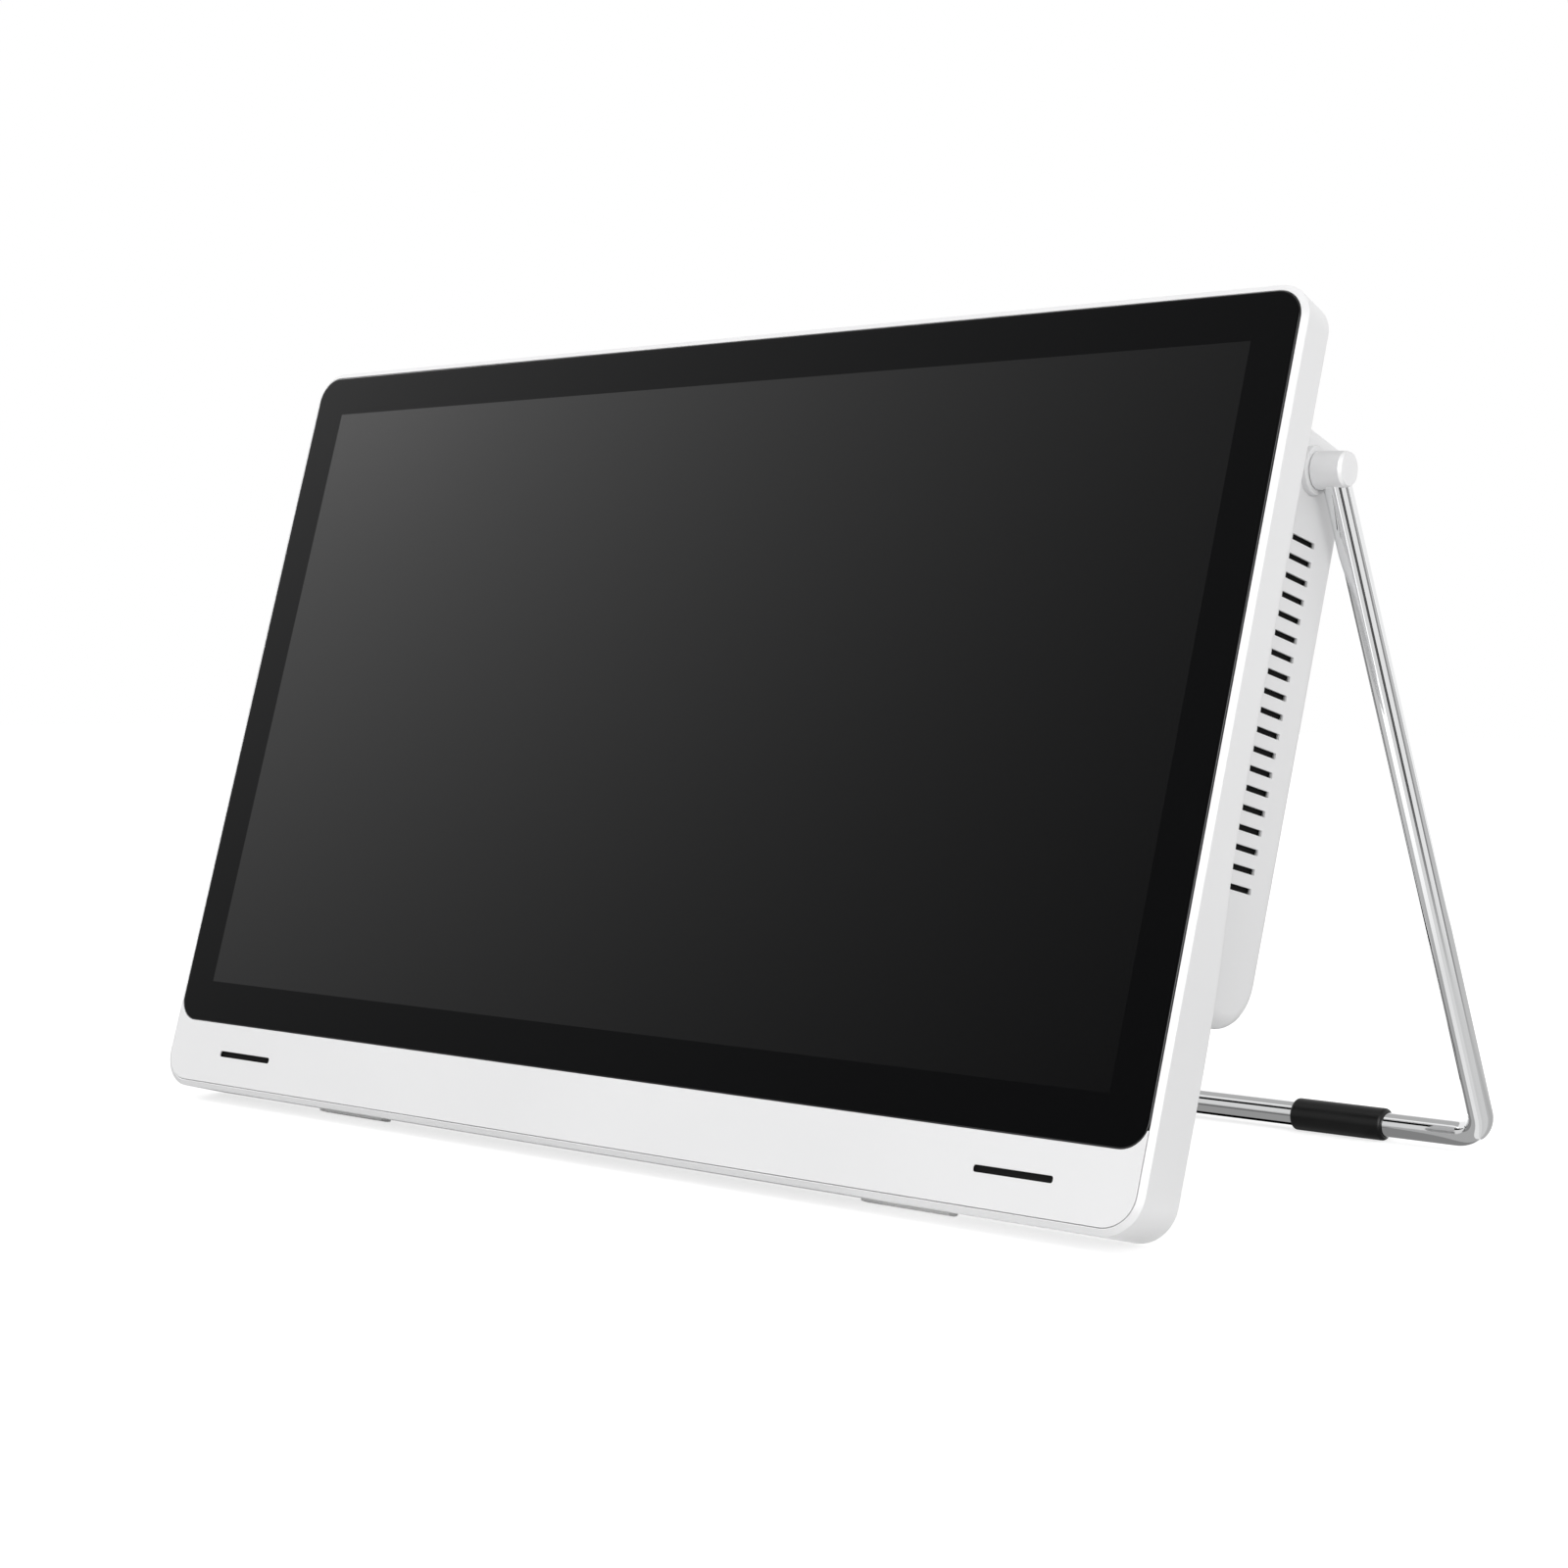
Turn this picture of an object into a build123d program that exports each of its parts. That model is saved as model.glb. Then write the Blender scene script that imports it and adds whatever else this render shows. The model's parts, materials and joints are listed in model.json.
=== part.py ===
from build123d import *
import math
import os

# Sizes are in millimetres. Every piece is drawn in the frame of the screen: x to the right,
# y up the glass from the lower edge of the picture, z out of the glass towards the user.
# At the end the whole monitor leans back on its stand and is set down with +Z up.

# Picture and glass
picture_w = 476.64
picture_h = 268.11
border_side = 17.6
border_top = 18.0
border_bottom = 18.2
glass_t = 2.0
glass_r = 10.5
glass_gap = 0.2
tape_t = 0.3
tape_w = 6.5

# Display module behind the glass
sensor_t = 0.3
gasket_t = 1.0
cell_t = 1.4
films_t = 0.8
guide_t = 2.8
pan_t = 1.0
layer_margin = 7.5
pan_clear = 0.4
led_bar_t = 1.4
led_bar_clear = 0.2

# Front frame
rim_w = 2.6
rim_drop = 1.7
chin_h = 29.9
chin_r = 12.6
chin_t = 2.0
chin_gap = 0.15
chin_horn = 7.35
frame_wall = 3.0
shelf_t = 1.8
draft_deg = 2.5
depth_top = 18.3
depth_bottom = 26.1
swell_high = 125.0
swell_low = 8.0
back_edge_r = 1.4
module_gap = 0.5

# Speaker slots in the chin
slot_from_side = 50.2
slot_below_glass = 13.6
slot_l = 33.4
slot_h = 2.6
slot_r = 1.0
mesh_t = 0.4
mesh_margin = 3.0
mesh_gap = 1.0
speaker_l = 80.0
speaker_h = 22.0
speaker_d = 14.0
speaker_r = 3.0
speaker_port_h = 8.0
speaker_port_d = 1.0
speaker_ear = 8.0
speaker_ear_lap = 1.0
speaker_ear_t = 2.0

# Rear cover with its raised electronics housing
cover_wall = 2.2
cover_gap = 0.15
housing_step_side = 15.3
housing_step_top = 34.6
housing_step_low = 82.2
housing_depth = 76.0
housing_low_r = 20.0
housing_high_r = 10.0
housing_side_r = 6.0
housing_root_r = 2.5

# Side vents
vent_count = 19
vent_below_pivot = 25.6
vent_pitch = 7.14
vent_l = 14.0
vent_h = 1.9
vent_depth = 50.9
vent_mesh_t = 0.5
vent_mesh_margin = 4.0

# Stand
tilt_deg = 17.3
pivot_drop = 16.3
pivot_depth = 47.5
leg_out = 8.6
leg_l = 294.8
bar_r = 5.1
bend_r = 12.0
knuckle_r = 7.0
knuckle_gap = 0.3
knuckle_over = 6.3
knuckle_tip_r = 6.5
knuckle_face_r = 6.15
knuckle_bevel_l = 2.0
socket_floor = 2.5
socket_gap = 0.05
sleeve_r = 6.8
sleeve_l = 42.3
sleeve_from_leg = 64.8
sleeve_edge_r = 1.2

# Friction hinge
hub_r = 5.5
hub_l = 10.0
run_fit = 0.05
bush_flange_r = 8.9
bush_flange_t = 2.3
bush_edge_r = 0.6
bush_r = 7.5
bush_l = 4.0
bush_gap = 0.15
shaft_r = 3.0
shaft_in_hub = 8.0
shaft_l = 30.0
leaf_t = 3.0
leaf_from_wall = 17.4
leaf_w = 17.0
leaf_end_r = 8.5
bracket_foot_l = 20.0
bracket_hole_in = 7.0
bracket_hole_pitch = 9.0
disc_r = 6.5
disc_t = 0.8
disc_gap = 0.1
disc_count = 3
collar_r = 5.0
collar_l = 2.0
nut_across = 10.0
nut_l = 5.0

# Inner plate, posts and screws
plate_t = 1.0
plate_margin = 8.2
post_r = 3.0
ear_r = 3.9
ear_clear = 0.9
ear_count = 4
ear_low = 20.0
ear_high_in = 10.0
ear_top_count = 3
ear_top_in = 78.0
m3_r = 1.45
m3_hole_r = 1.6
m3_head_r = 2.6
m3_head_h = 1.8
plate_screw_l = 5.0
board_screw_l = 6.0
board_thread_l = 8.0
screw_tip_gap = 0.2
cover_post_r = 4.6
cover_well_r = 3.0
cover_head_sunk = 1.9
cover_screw_in = 48.3
cover_screw_high_in = 2.1

# Circuit boards: width and height, and where they stand in the housing
board_lift = 17.3
board_t = 1.6
board_hole_in = 5.0
board_side_gap = 18.5
board_low_gap = 2.3
main_board_size = (160.0, 120.0)
power_board_size = (155.0, 90.0)
power_board_low_gap = 14.3
touch_board_size = (70.0, 26.0)
touch_board_top_gap = 15.8
panel_board_size = (220.0, 16.0)
panel_board_low = 14.0
panel_board_t = 1.2

# What stands on the boards, measured from each board's left and lower edge
processor_at = (80.0, 74.0)
processor_side = 24.0
processor_t = 2.0
memory_size = (9.0, 12.0)
memory_t = 1.2
memory_from_processor = 35.0
memory_pitch = 14.0
coil_xs = (20.0, 30.0, 130.0, 140.0)
coil_y = 42.0
coil_r = 3.2
coil_h = 7.0
sink_side = 54.0
sink_base = 3.0
fin_h = 11.0
fin_t = 1.4
fin_count = 9
transformer_at = (40.0, 45.0)
transformer_size = (26.0, 30.0)
transformer_h = 18.0
capacitor_xs = (80.0, 96.0, 112.0)
capacitor_y = 28.0
capacitor_r = 6.0
capacitor_h = 16.0
choke_at = (120.0, 65.0)
choke_size = (30.0, 18.0)
choke_h = 8.0
touch_chip_side = 12.0
touch_chip_t = 1.4
touch_socket_x = 20.0
touch_socket_size = (8.0, 18.0)
touch_socket_t = 3.0

# Cables between the boards, with their plugs
cable_r = 2.0
cable_bend_r = 5.0
cable_gap = 0.2
plug_size = (10.0, 12.0)
plug_h = 4.5
plug_in = 3.0
panel_cable_y = 14.0
power_cable_y = 30.5
cable_drop_in = 9.0

# Wall-mount posts behind the cover, on the usual 100 mm square
mount_pitch = 100.0
mount_post_r = 4.5
mount_hole_r = 2.1
mount_hole_l = 12.0
mount_gap = 0.2

# Sockets on the lower side of the housing
socket_set_in = 0.5
socket_on_board = 10.0
socket_plate_gap = 0.2
socket_cut_gap = 0.3
socket_plate_side = 6.0
socket_plate_front = 1.0
socket_plate_back = 2.5
inlet_from_edge = 23.0
inlet_size = (9.0, 10.0)
inlet_bore_r = 3.2
inlet_pin_r = 1.0
inlet_bore_l = 9.0
video_from_inlet = 26.0
video_size = (15.0, 5.6)
usb_from_video = 28.0
usb_pitch = 22.0
usb_size = (14.2, 6.6)
usb_count = 2
audio_from_usb = 22.0
audio_size = (7.0, 6.0)
audio_bore_r = 1.8
audio_bore_l = 11.0
socket_shell_t = 0.6
socket_mouth_l = 10.5
tongue_side_in = 1.5
tongue_t = 1.2
tongue_set_in = 1.0

# Side buttons and their switch board, on the left edge
button_ys = (34.0, 52.0, 64.0)
button_l = 9.0
button_w = 3.2
button_proud = 0.7
button_gap = 0.15
button_lip = 0.8
button_lip_over = 1.0
button_stem = 0.6
button_stem_r = 1.5
button_travel = 0.6
button_depth = 9.5
switch_side = 5.0
switch_h = 3.2
switch_board_w = 7.0
switch_board_over = 8.0
switch_rib_t = 2.0
switch_rib_back = 4.0

# Feet under the frame
foot_x = 150.0
foot_l = 40.0
foot_w = 6.0
foot_set_in = 0.5
foot_proud = 1.0
foot_cut = 0.5
foot_from_back = 2.2

# Places that follow from the sizes above
glass_half_w = picture_w / 2 + border_side
glass_low = -border_bottom
glass_high = picture_h + border_top
slot_x = glass_half_w - slot_from_side
frame_half_w = glass_half_w + glass_gap + rim_w
frame_high = glass_high + glass_gap + rim_w
frame_low = glass_low - chin_h
frame_r_high = glass_r + glass_gap + rim_w
frame_r_low = chin_r + rim_w
chin_low = frame_low + rim_w
slot_y = glass_low - slot_below_glass
z_tape = -glass_t - tape_t
z_sensor = -glass_t - sensor_t
z_cell = z_sensor - gasket_t
z_films = z_cell - cell_t
z_guide = z_films - films_t
z_pan = z_guide - guide_t
z_pan_back = z_pan - pan_t
z_shelf_back = -chin_t - shelf_t
z_plate_back = z_pan_back - plate_t
z_board = z_plate_back - board_lift
z_board_back = z_board - board_t
module_margin = layer_margin + pan_clear + pan_t
cover_seat_depth = depth_top - cover_head_sunk
housing_half_w = frame_half_w - housing_step_side
housing_low = frame_low + housing_step_low
housing_high = frame_high - housing_step_top
mount_centre_y = (housing_low + housing_high) / 2
pivot_y = housing_high - pivot_drop
vent_high = pivot_y - vent_below_pivot
vent_low = vent_high - (vent_count - 1) * vent_pitch
pivot = (pivot_y, -pivot_depth)
leg_x = housing_half_w + leg_out
knuckle_end = leg_x + knuckle_over
sleeve_x = leg_x - sleeve_from_leg
leaf_x = housing_half_w - leaf_from_wall
tilt = math.radians(tilt_deg)
over = 5.0
big = 2 * frame_half_w


# Shared shapes
def block(x0, x1, y0, y1, z0, z1):
    """A box between two corners."""
    return Pos((x0 + x1) / 2, (y0 + y1) / 2, (z0 + z1) / 2) * Box(x1 - x0, y1 - y0, abs(z1 - z0))


def post(x, y, z0, z1, r):
    """A round post along z."""
    return Pos(x, y, (z0 + z1) / 2) * Cylinder(r, abs(z1 - z0))


def axle(x0, x1, y, z, r):
    """A round bar along x."""
    return Pos((x0 + x1) / 2, y, z) * Rot(0, 90, 0) * Cylinder(r, abs(x1 - x0))


def taper(x0, x1, y, z, r0, r1):
    """A round bar along x whose radius goes from r0 to r1."""
    return Pos((x0 + x1) / 2, y, z) * Rot(0, 90, 0) * Cone(r0, r1, x1 - x0)


def slab(face, z_back, z_front):
    """A flat outline given a thickness."""
    return Pos(0, 0, z_back) * extrude(face, z_front - z_back)


def rounded(half_w, low, high, r_low, r_high):
    """A rectangle with its own corner radius below and above."""
    face = Pos(0, (low + high) / 2) * Rectangle(2 * half_w, high - low)
    face = fillet(face.vertices().group_by(Axis.Y)[0], r_low)
    return fillet(face.vertices().group_by(Axis.Y)[-1], r_high)


def outline(inset):
    """The front frame's outline, drawn in by inset."""
    return rounded(
        frame_half_w - inset, frame_low + inset, frame_high - inset,
        frame_r_low - inset, frame_r_high - inset,
    )


def glass_outline(grow):
    """The glass's outline, let out by grow."""
    return rounded(
        glass_half_w + grow, glass_low - grow, glass_high + grow, glass_r + grow, glass_r + grow
    )


def round_picture(margin, z_back, z_front):
    """A plain layer that reaches past the picture by margin."""
    x = picture_w / 2 + margin
    return block(-x, x, -margin, picture_h + margin, z_back, z_front)


def back_region(shift):
    """All that lies behind the back of the frame, moved forwards by shift."""
    top, low = -depth_top + shift, -depth_bottom + shift
    knee, foot = (swell_high, top), (swell_low, low)
    middle = ((swell_high + swell_low) / 2, (top + low) / 2)
    straight = Line((big, top), knee)
    upper = TangentArc(knee, middle, tangent=(-1, 0))
    lower = TangentArc(middle, foot, tangent=upper % 1)
    rest = Polyline(foot, (-big, low), (-big, -big), (big, -big), (big, top))
    face = make_face(Plane.YZ * Curve([straight, upper, lower, rest]))
    return Pos(-big, 0, 0) * extrude(face, 2 * big, dir=(1, 0, 0))


def edge_of(faces):
    """The edges that only one of these faces has."""
    edges = [e for f in faces for e in f.edges()]
    return [e for e in edges if sum(e.is_same(other) for other in edges) == 1]


def spread(low, high, count):
    """Evenly spaced places from low to high."""
    return [low + (high - low) * i / (count - 1) for i in range(count)]


def both_sides(shape):
    """The same piece on the right and on the left."""
    return shape, mirror(shape, Plane.YZ)


def screw(x, y, z_seat, length):
    """A pan-head screw driven forwards from the back."""
    head = post(x, y, z_seat - m3_head_h, z_seat, m3_head_r)
    head = fillet(head.edges().sort_by(Axis.Z)[0], m3_head_h / 3)
    return head + post(x, y, z_seat, z_seat + length, m3_r)


# Where the screws and posts stand
ear_x = picture_w / 2 + module_margin + module_gap + post_r + ear_clear
ear_y = picture_h + module_margin + module_gap + post_r
ear_top_x = picture_w / 2 - ear_top_in
ear_ys = spread(ear_low, picture_h - ear_high_in, ear_count)
ear_points = [(side * ear_x, y) for side in (-1, 1) for y in ear_ys]
ear_points += [(x, ear_y) for x in spread(-ear_top_x, ear_top_x, ear_top_count)]
cover_x = picture_w / 2 - cover_screw_in
cover_points = [(x, y) for y in (0, picture_h - cover_screw_high_in) for x in (-cover_x, 0, cover_x)]
half_pitch = mount_pitch / 2
mount_points = [(x, mount_centre_y + y) for x in (-half_pitch, half_pitch) for y in (-half_pitch, half_pitch)]

# Each board's lower left corner, and its size
board_side = housing_half_w - cover_wall - board_side_gap
inner_low = housing_low + cover_wall
main_spot = (-board_side, inner_low + board_low_gap, *main_board_size)
power_spot = (board_side - power_board_size[0], inner_low + power_board_low_gap, *power_board_size)
touch_low = housing_high - cover_wall - touch_board_top_gap - touch_board_size[1]
touch_spot = (-touch_board_size[0] / 2, touch_low, *touch_board_size)


def board_points(spot):
    """The four screw places of a board."""
    left, low, w, h = spot
    xs = (left + board_hole_in, left + w - board_hole_in)
    ys = (low + board_hole_in, low + h - board_hole_in)
    return [(x, y) for x in xs for y in ys]


all_board_points = [p for spot in (main_spot, power_spot, touch_spot) for p in board_points(spot)]
made = {}

# Cover glass with the touch surface: one flat sheet with rounded corners
made["cover_glass"] = slab(glass_outline(0), -glass_t, 0)

# Double-sided tape between glass and frame
tape = slab(glass_outline(-0.3), z_tape, -glass_t)
tape -= slab(glass_outline(-0.3 - tape_w), z_tape - 1, 0)
made["glass_tape"] = tape

# Touch sensor film laminated to the back of the glass
made["touch_sensor"] = round_picture(layer_margin, z_sensor, -glass_t)

# Foam gasket that keeps dust out of the picture
made["panel_gasket"] = round_picture(layer_margin, z_cell, z_sensor) - round_picture(2.0, z_cell, z_sensor)

# Liquid-crystal cell, diffuser films, light guide and LED bar, in a steel pan
made["lcd_cell"] = round_picture(layer_margin, z_films, z_cell)
made["diffuser_films"] = round_picture(layer_margin, z_guide, z_films)
layer_x = picture_w / 2 + layer_margin
guide_low = -layer_margin + led_bar_t + led_bar_clear
made["light_guide"] = block(-layer_x, layer_x, guide_low, picture_h + layer_margin, z_pan, z_guide)
made["led_bar"] = block(-layer_x, layer_x, -layer_margin, -layer_margin + led_bar_t, z_pan, z_guide)
pan = round_picture(module_margin, z_pan_back, z_sensor - gasket_t / 2)
pan -= round_picture(layer_margin + pan_clear, z_pan, 0)
made["panel_pan"] = pan

# Front frame: drafted outer wall, bright bevel round the glass, shelf, windows and posts
body = Pos(0, 0, -rim_drop) * extrude(outline(0), -(depth_bottom + over), taper=draft_deg)
bevel_deg = math.degrees(math.atan2(rim_w, rim_drop))
body += extrude(outline(rim_w), -rim_drop, taper=-bevel_deg)
body -= back_region(0)
back_faces = [f for f in body.faces() if f.normal_at().Z < -0.8]
frame = fillet(edge_of(back_faces), back_edge_r)
frame -= slab(outline(rim_w), -chin_t, 1)
frame -= slab(glass_outline(glass_gap), z_tape, 1)
frame -= slab(outline(frame_wall), -big, z_shelf_back)
frame -= round_picture(module_margin + module_gap, -big, 0)
window_x = slot_l / 2 + mesh_margin + mesh_gap
window_y = slot_h / 2 + mesh_margin + mesh_gap
speaker_window = block(-window_x, window_x, slot_y - window_y, slot_y + window_y, -big, 0)
for side in (-1, 1):
    frame -= Pos(side * slot_x, 0, 0) * speaker_window
for x, y in ear_points:
    frame += post(x, y, z_pan_back, z_shelf_back, post_r)
    frame -= post(x, y, z_pan_back, z_shelf_back, m3_r)

# Room in the left wall for the buttons, and ribs that hold their switch board
wall_in = frame_half_w - frame_wall
for y in button_ys:
    hole = SlotOverall(button_l + 2 * button_gap, button_w + 2 * button_gap)
    hole = Rot(0, 90, 0) * Rot(0, 0, 90) * extrude(hole, frame_wall + 2 * over)
    frame -= Pos(-frame_half_w - over, y, -button_depth) * hole
switch_top_x = wall_in - button_gap - button_lip - button_stem - button_travel - button_gap
switch_board_x = switch_top_x - switch_h
switch_board_low = button_ys[0] - switch_board_over
switch_board_high = button_ys[-1] + switch_board_over
for y in (switch_board_low - switch_rib_t, switch_board_high):
    frame += block(-wall_in, -switch_board_x + board_t, y, y + switch_rib_t,
                   -button_depth - switch_rib_back, z_shelf_back)

# Pockets under the frame for the feet
foot_back = -depth_bottom + foot_from_back
foot_front = foot_back + foot_w
draft_tan = math.tan(math.radians(draft_deg))
foot_roof = frame_low - rim_drop * draft_tan - foot_front * draft_tan + foot_set_in


def foot_block(side):
    """The space of one foot below its pocket's roof."""
    low = foot_roof - foot_set_in - foot_proud
    middle = side * foot_x
    return block(middle - foot_l / 2, middle + foot_l / 2, low, foot_roof, foot_back, foot_front)


for side in (-1, 1):
    frame -= foot_block(side)
made["front_frame"] = frame

# Chin panel: bare fascia below the glass, with a slot for each speaker
chin_half_w = frame_half_w - rim_w - chin_gap
chin_top = glass_low + chin_horn
chin_face_h = chin_top - chin_low - chin_gap
chin_face = Pos(0, chin_top - chin_face_h / 2) * Rectangle(2 * chin_half_w, chin_face_h)
chin_face = fillet(chin_face.vertices().group_by(Axis.Y)[0], chin_r - chin_gap)
chin = slab(chin_face, -chin_t, 0) - slab(glass_outline(glass_gap), -big, over)
for side in (-1, 1):
    chin -= Pos(side * slot_x, slot_y, -big) * extrude(RectangleRounded(slot_l, slot_h, slot_r), 2 * big)
made["chin_panel"] = chin

# Speaker cloths behind the slots, and the speaker boxes
cloth = Box(slot_l + 2 * mesh_margin, slot_h + 2 * mesh_margin, mesh_t)
cloth = Pos(slot_x, slot_y, -chin_t - mesh_t / 2) * cloth
made["speaker_cloth_right"], made["speaker_cloth_left"] = both_sides(cloth)
speaker_y = (chin_low + glass_low) / 2
speaker = Pos(slot_x, speaker_y, z_shelf_back - speaker_d / 2) * Box(speaker_l, speaker_h, speaker_d)
speaker = fillet(speaker.edges().filter_by(Axis.Z), speaker_r)
port = extrude(SlotOverall(slot_l, speaker_port_h), 2 * speaker_port_d)
speaker -= Pos(slot_x, slot_y, z_shelf_back - speaker_port_d) * port
half_ear = speaker_ear / 2
for side in (-1, 1):
    ear = slot_x + side * (speaker_l / 2 + half_ear - speaker_ear_lap)
    speaker += block(ear - half_ear, ear + half_ear, speaker_y - half_ear, speaker_y + half_ear,
                     z_shelf_back - speaker_ear_t, z_shelf_back)
    speaker -= post(ear, speaker_y, z_shelf_back - over, z_shelf_back + over, m3_hole_r)
made["speaker_right"], made["speaker_left"] = both_sides(speaker)

# Steel mid plate, screwed by its ears to the front frame
plate = round_picture(plate_margin, z_plate_back, z_pan_back)
for x, y in ear_points:
    root_x = min(max(x, -picture_w / 2), picture_w / 2)
    root_y = min(y, picture_h)
    plate += block(min(x, root_x) - ear_r, max(x, root_x) + ear_r, root_y - ear_r, y + ear_r,
                   z_plate_back, z_pan_back)
    plate -= post(x, y, z_plate_back, z_pan_back, m3_hole_r)
for x, y in cover_points:
    plate -= post(x, y, z_plate_back, z_pan_back, m3_r)
made["mid_plate"] = plate
made["plate_screws"] = Compound([screw(x, y, z_plate_back, plate_screw_l) for x, y in ear_points])

# Threaded posts for the boards, and for a wall mount or arm
lifts = []
for x, y in all_board_points:
    lift = post(x, y, z_board, z_plate_back, post_r)
    lifts.append(lift - post(x, y, z_board, z_board + board_thread_l, m3_r))
made["board_posts"] = Compound(lifts)
made["board_screws"] = Compound([screw(x, y, z_board_back, board_screw_l) for x, y in all_board_points])
mount_posts = []
for x, y in mount_points:
    one = post(x, y, -housing_depth, z_plate_back, mount_post_r)
    mount_posts.append(one - post(x, y, -housing_depth, -housing_depth + mount_hole_l, mount_hole_r))
made["mount_posts"] = Compound(mount_posts)


def board(spot):
    """A circuit board with its screw holes."""
    left, low, w, h = spot
    sheet = block(left, left + w, low, low + h, z_board_back, z_board)
    for x, y in board_points(spot):
        sheet -= post(x, y, z_board_back, z_board, m3_hole_r)
    return sheet


def on_board(spot, at, size, tall):
    """A block on the back of a board, its middle measured from the board's lower left corner."""
    x = spot[0] + at[0]
    y = spot[1] + at[1]
    w, h = size
    return block(x - w / 2, x + w / 2, y - h / 2, y + h / 2, z_board_back - tall, z_board_back)


def can_on_board(spot, at, r, tall):
    """A round part that stands on the back of a board."""
    return post(spot[0] + at[0], spot[1] + at[1], z_board_back - tall, z_board_back, r)


# Main board with its processor, memory chips, coils and two cable plugs
plug_x = main_board_size[0] - plug_in - plug_size[0] / 2
main = board(main_spot) + on_board(main_spot, processor_at, (processor_side, processor_side), processor_t)
for side in (-1, 1):
    for row in (-1, 0, 1):
        at = (processor_at[0] + side * memory_from_processor, processor_at[1] + row * memory_pitch)
        main += on_board(main_spot, at, memory_size, memory_t)
for x in coil_xs:
    main += can_on_board(main_spot, (x, coil_y), coil_r, coil_h)
for y in (panel_cable_y, power_cable_y):
    main += on_board(main_spot, (plug_x, y), plug_size, plug_h)
made["main_board"] = main

# Finned heat sink on the processor
sink_x = main_spot[0] + processor_at[0]
sink_y = main_spot[1] + processor_at[1]
half_sink = sink_side / 2
z_sink = z_board_back - processor_t
z_fins = z_sink - sink_base
sink = block(sink_x - half_sink, sink_x + half_sink, sink_y - half_sink, sink_y + half_sink, z_fins, z_sink)
for x in spread(sink_x - half_sink, sink_x + half_sink - fin_t, fin_count):
    sink += block(x, x + fin_t, sink_y - half_sink, sink_y + half_sink, z_fins - fin_h, z_fins)
made["heat_sink"] = sink

# Power board with its transformer, capacitors, choke and cable plug
power_plug_y = main_spot[1] + power_cable_y - power_spot[1]
power = board(power_spot) + on_board(power_spot, transformer_at, transformer_size, transformer_h)
for x in capacitor_xs:
    power += can_on_board(power_spot, (x, capacitor_y), capacitor_r, capacitor_h)
power += on_board(power_spot, choke_at, choke_size, choke_h)
power += on_board(power_spot, (plug_in + plug_size[0] / 2, power_plug_y), plug_size, plug_h)
made["power_board"] = power

# Touch board with its chip and the socket for the sensor's tail
touch_middle = (touch_board_size[0] / 2, touch_board_size[1] / 2)
touch = board(touch_spot)
touch += on_board(touch_spot, touch_middle, (touch_chip_side, touch_chip_side), touch_chip_t)
touch += on_board(
    touch_spot, (touch_middle[0] + touch_socket_x, touch_middle[1]), touch_socket_size, touch_socket_t
)
made["touch_board"] = touch

# Panel board, a narrow strip on the back of the mid plate
panel_w, panel_h = panel_board_size
z_strip = z_plate_back - panel_board_t
strip = block(-panel_w / 2, panel_w / 2, panel_board_low, panel_board_low + panel_h, z_strip, z_plate_back)
main_right = main_spot[0] + main_spot[2]
drop_x = main_right + cable_drop_in
panel_plug_high = panel_board_low + panel_h / 2 + plug_size[0] / 2
strip += block(drop_x - plug_size[1] / 2, drop_x + plug_size[1] / 2, panel_plug_high - plug_size[0],
               panel_plug_high, z_strip - plug_h, z_strip)
made["panel_board"] = strip


def cable(points):
    """A bundle of wires that follows these points with rounded corners."""
    route = FilletPolyline(*points, radius=cable_bend_r)
    return sweep(Plane(origin=route @ 0, z_dir=route % 0) * Circle(cable_r), route)


# Panel cable: over the main board's edge, forwards to the mid plate and down to the panel board
z_plug = z_board_back - plug_h / 2
z_panel_plug = z_strip - plug_h / 2
start_x = main_right - plug_in
panel_cable_at = main_spot[1] + panel_cable_y
made["panel_cable"] = cable([
    (start_x, panel_cable_at, z_plug), (drop_x, panel_cable_at, z_plug),
    (drop_x, panel_cable_at, z_panel_plug), (drop_x, panel_plug_high, z_panel_plug),
])

# Power cable: along the mid plate between the two large boards
power_cable_at = main_spot[1] + power_cable_y
z_laid = z_plate_back - cable_gap - cable_r
far_x = power_spot[0] - cable_drop_in
made["power_cable"] = cable([
    (start_x, power_cable_at, z_plug), (drop_x, power_cable_at, z_plug), (drop_x, power_cable_at, z_laid),
    (far_x, power_cable_at, z_laid), (far_x, power_cable_at, z_plug),
    (power_spot[0] + plug_in, power_cable_at, z_plug),
])

# Sockets on the lower edge of the main board, facing down
mouth = housing_low + socket_set_in
inlet_x = main_right - inlet_from_edge
video_x = inlet_x - video_from_inlet
usb_xs = [video_x - usb_from_video - i * usb_pitch for i in range(usb_count)]
audio_x = usb_xs[-1] - audio_from_usb


def socket_block(x, size, inset=0.0):
    """The outside of a socket that looks down through the housing, drawn in by inset."""
    w, tall = size
    return block(x - w / 2 + inset, x + w / 2 - inset, mouth, main_spot[1] + socket_on_board,
                 z_board_back - tall + inset, z_board_back - inset)


def bored(x, z, r, depth):
    """A round hole up into a socket."""
    return Pos(x, mouth + depth / 2, z) * Rot(90, 0, 0) * Cylinder(r, depth)


def plug_socket(x, size):
    """A sheet-metal socket with a tongue inside."""
    w, tall = size
    room = socket_block(x, size, socket_shell_t) & block(x - w, x + w, mouth, mouth + socket_mouth_l, -big, 0)
    tongue_x = w / 2 - tongue_side_in
    middle = z_board_back - tall / 2
    tongue = block(x - tongue_x, x + tongue_x, mouth + tongue_set_in, mouth + socket_mouth_l,
                   middle - tongue_t / 2, middle + tongue_t / 2)
    return socket_block(x, size) - room + tongue


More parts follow.
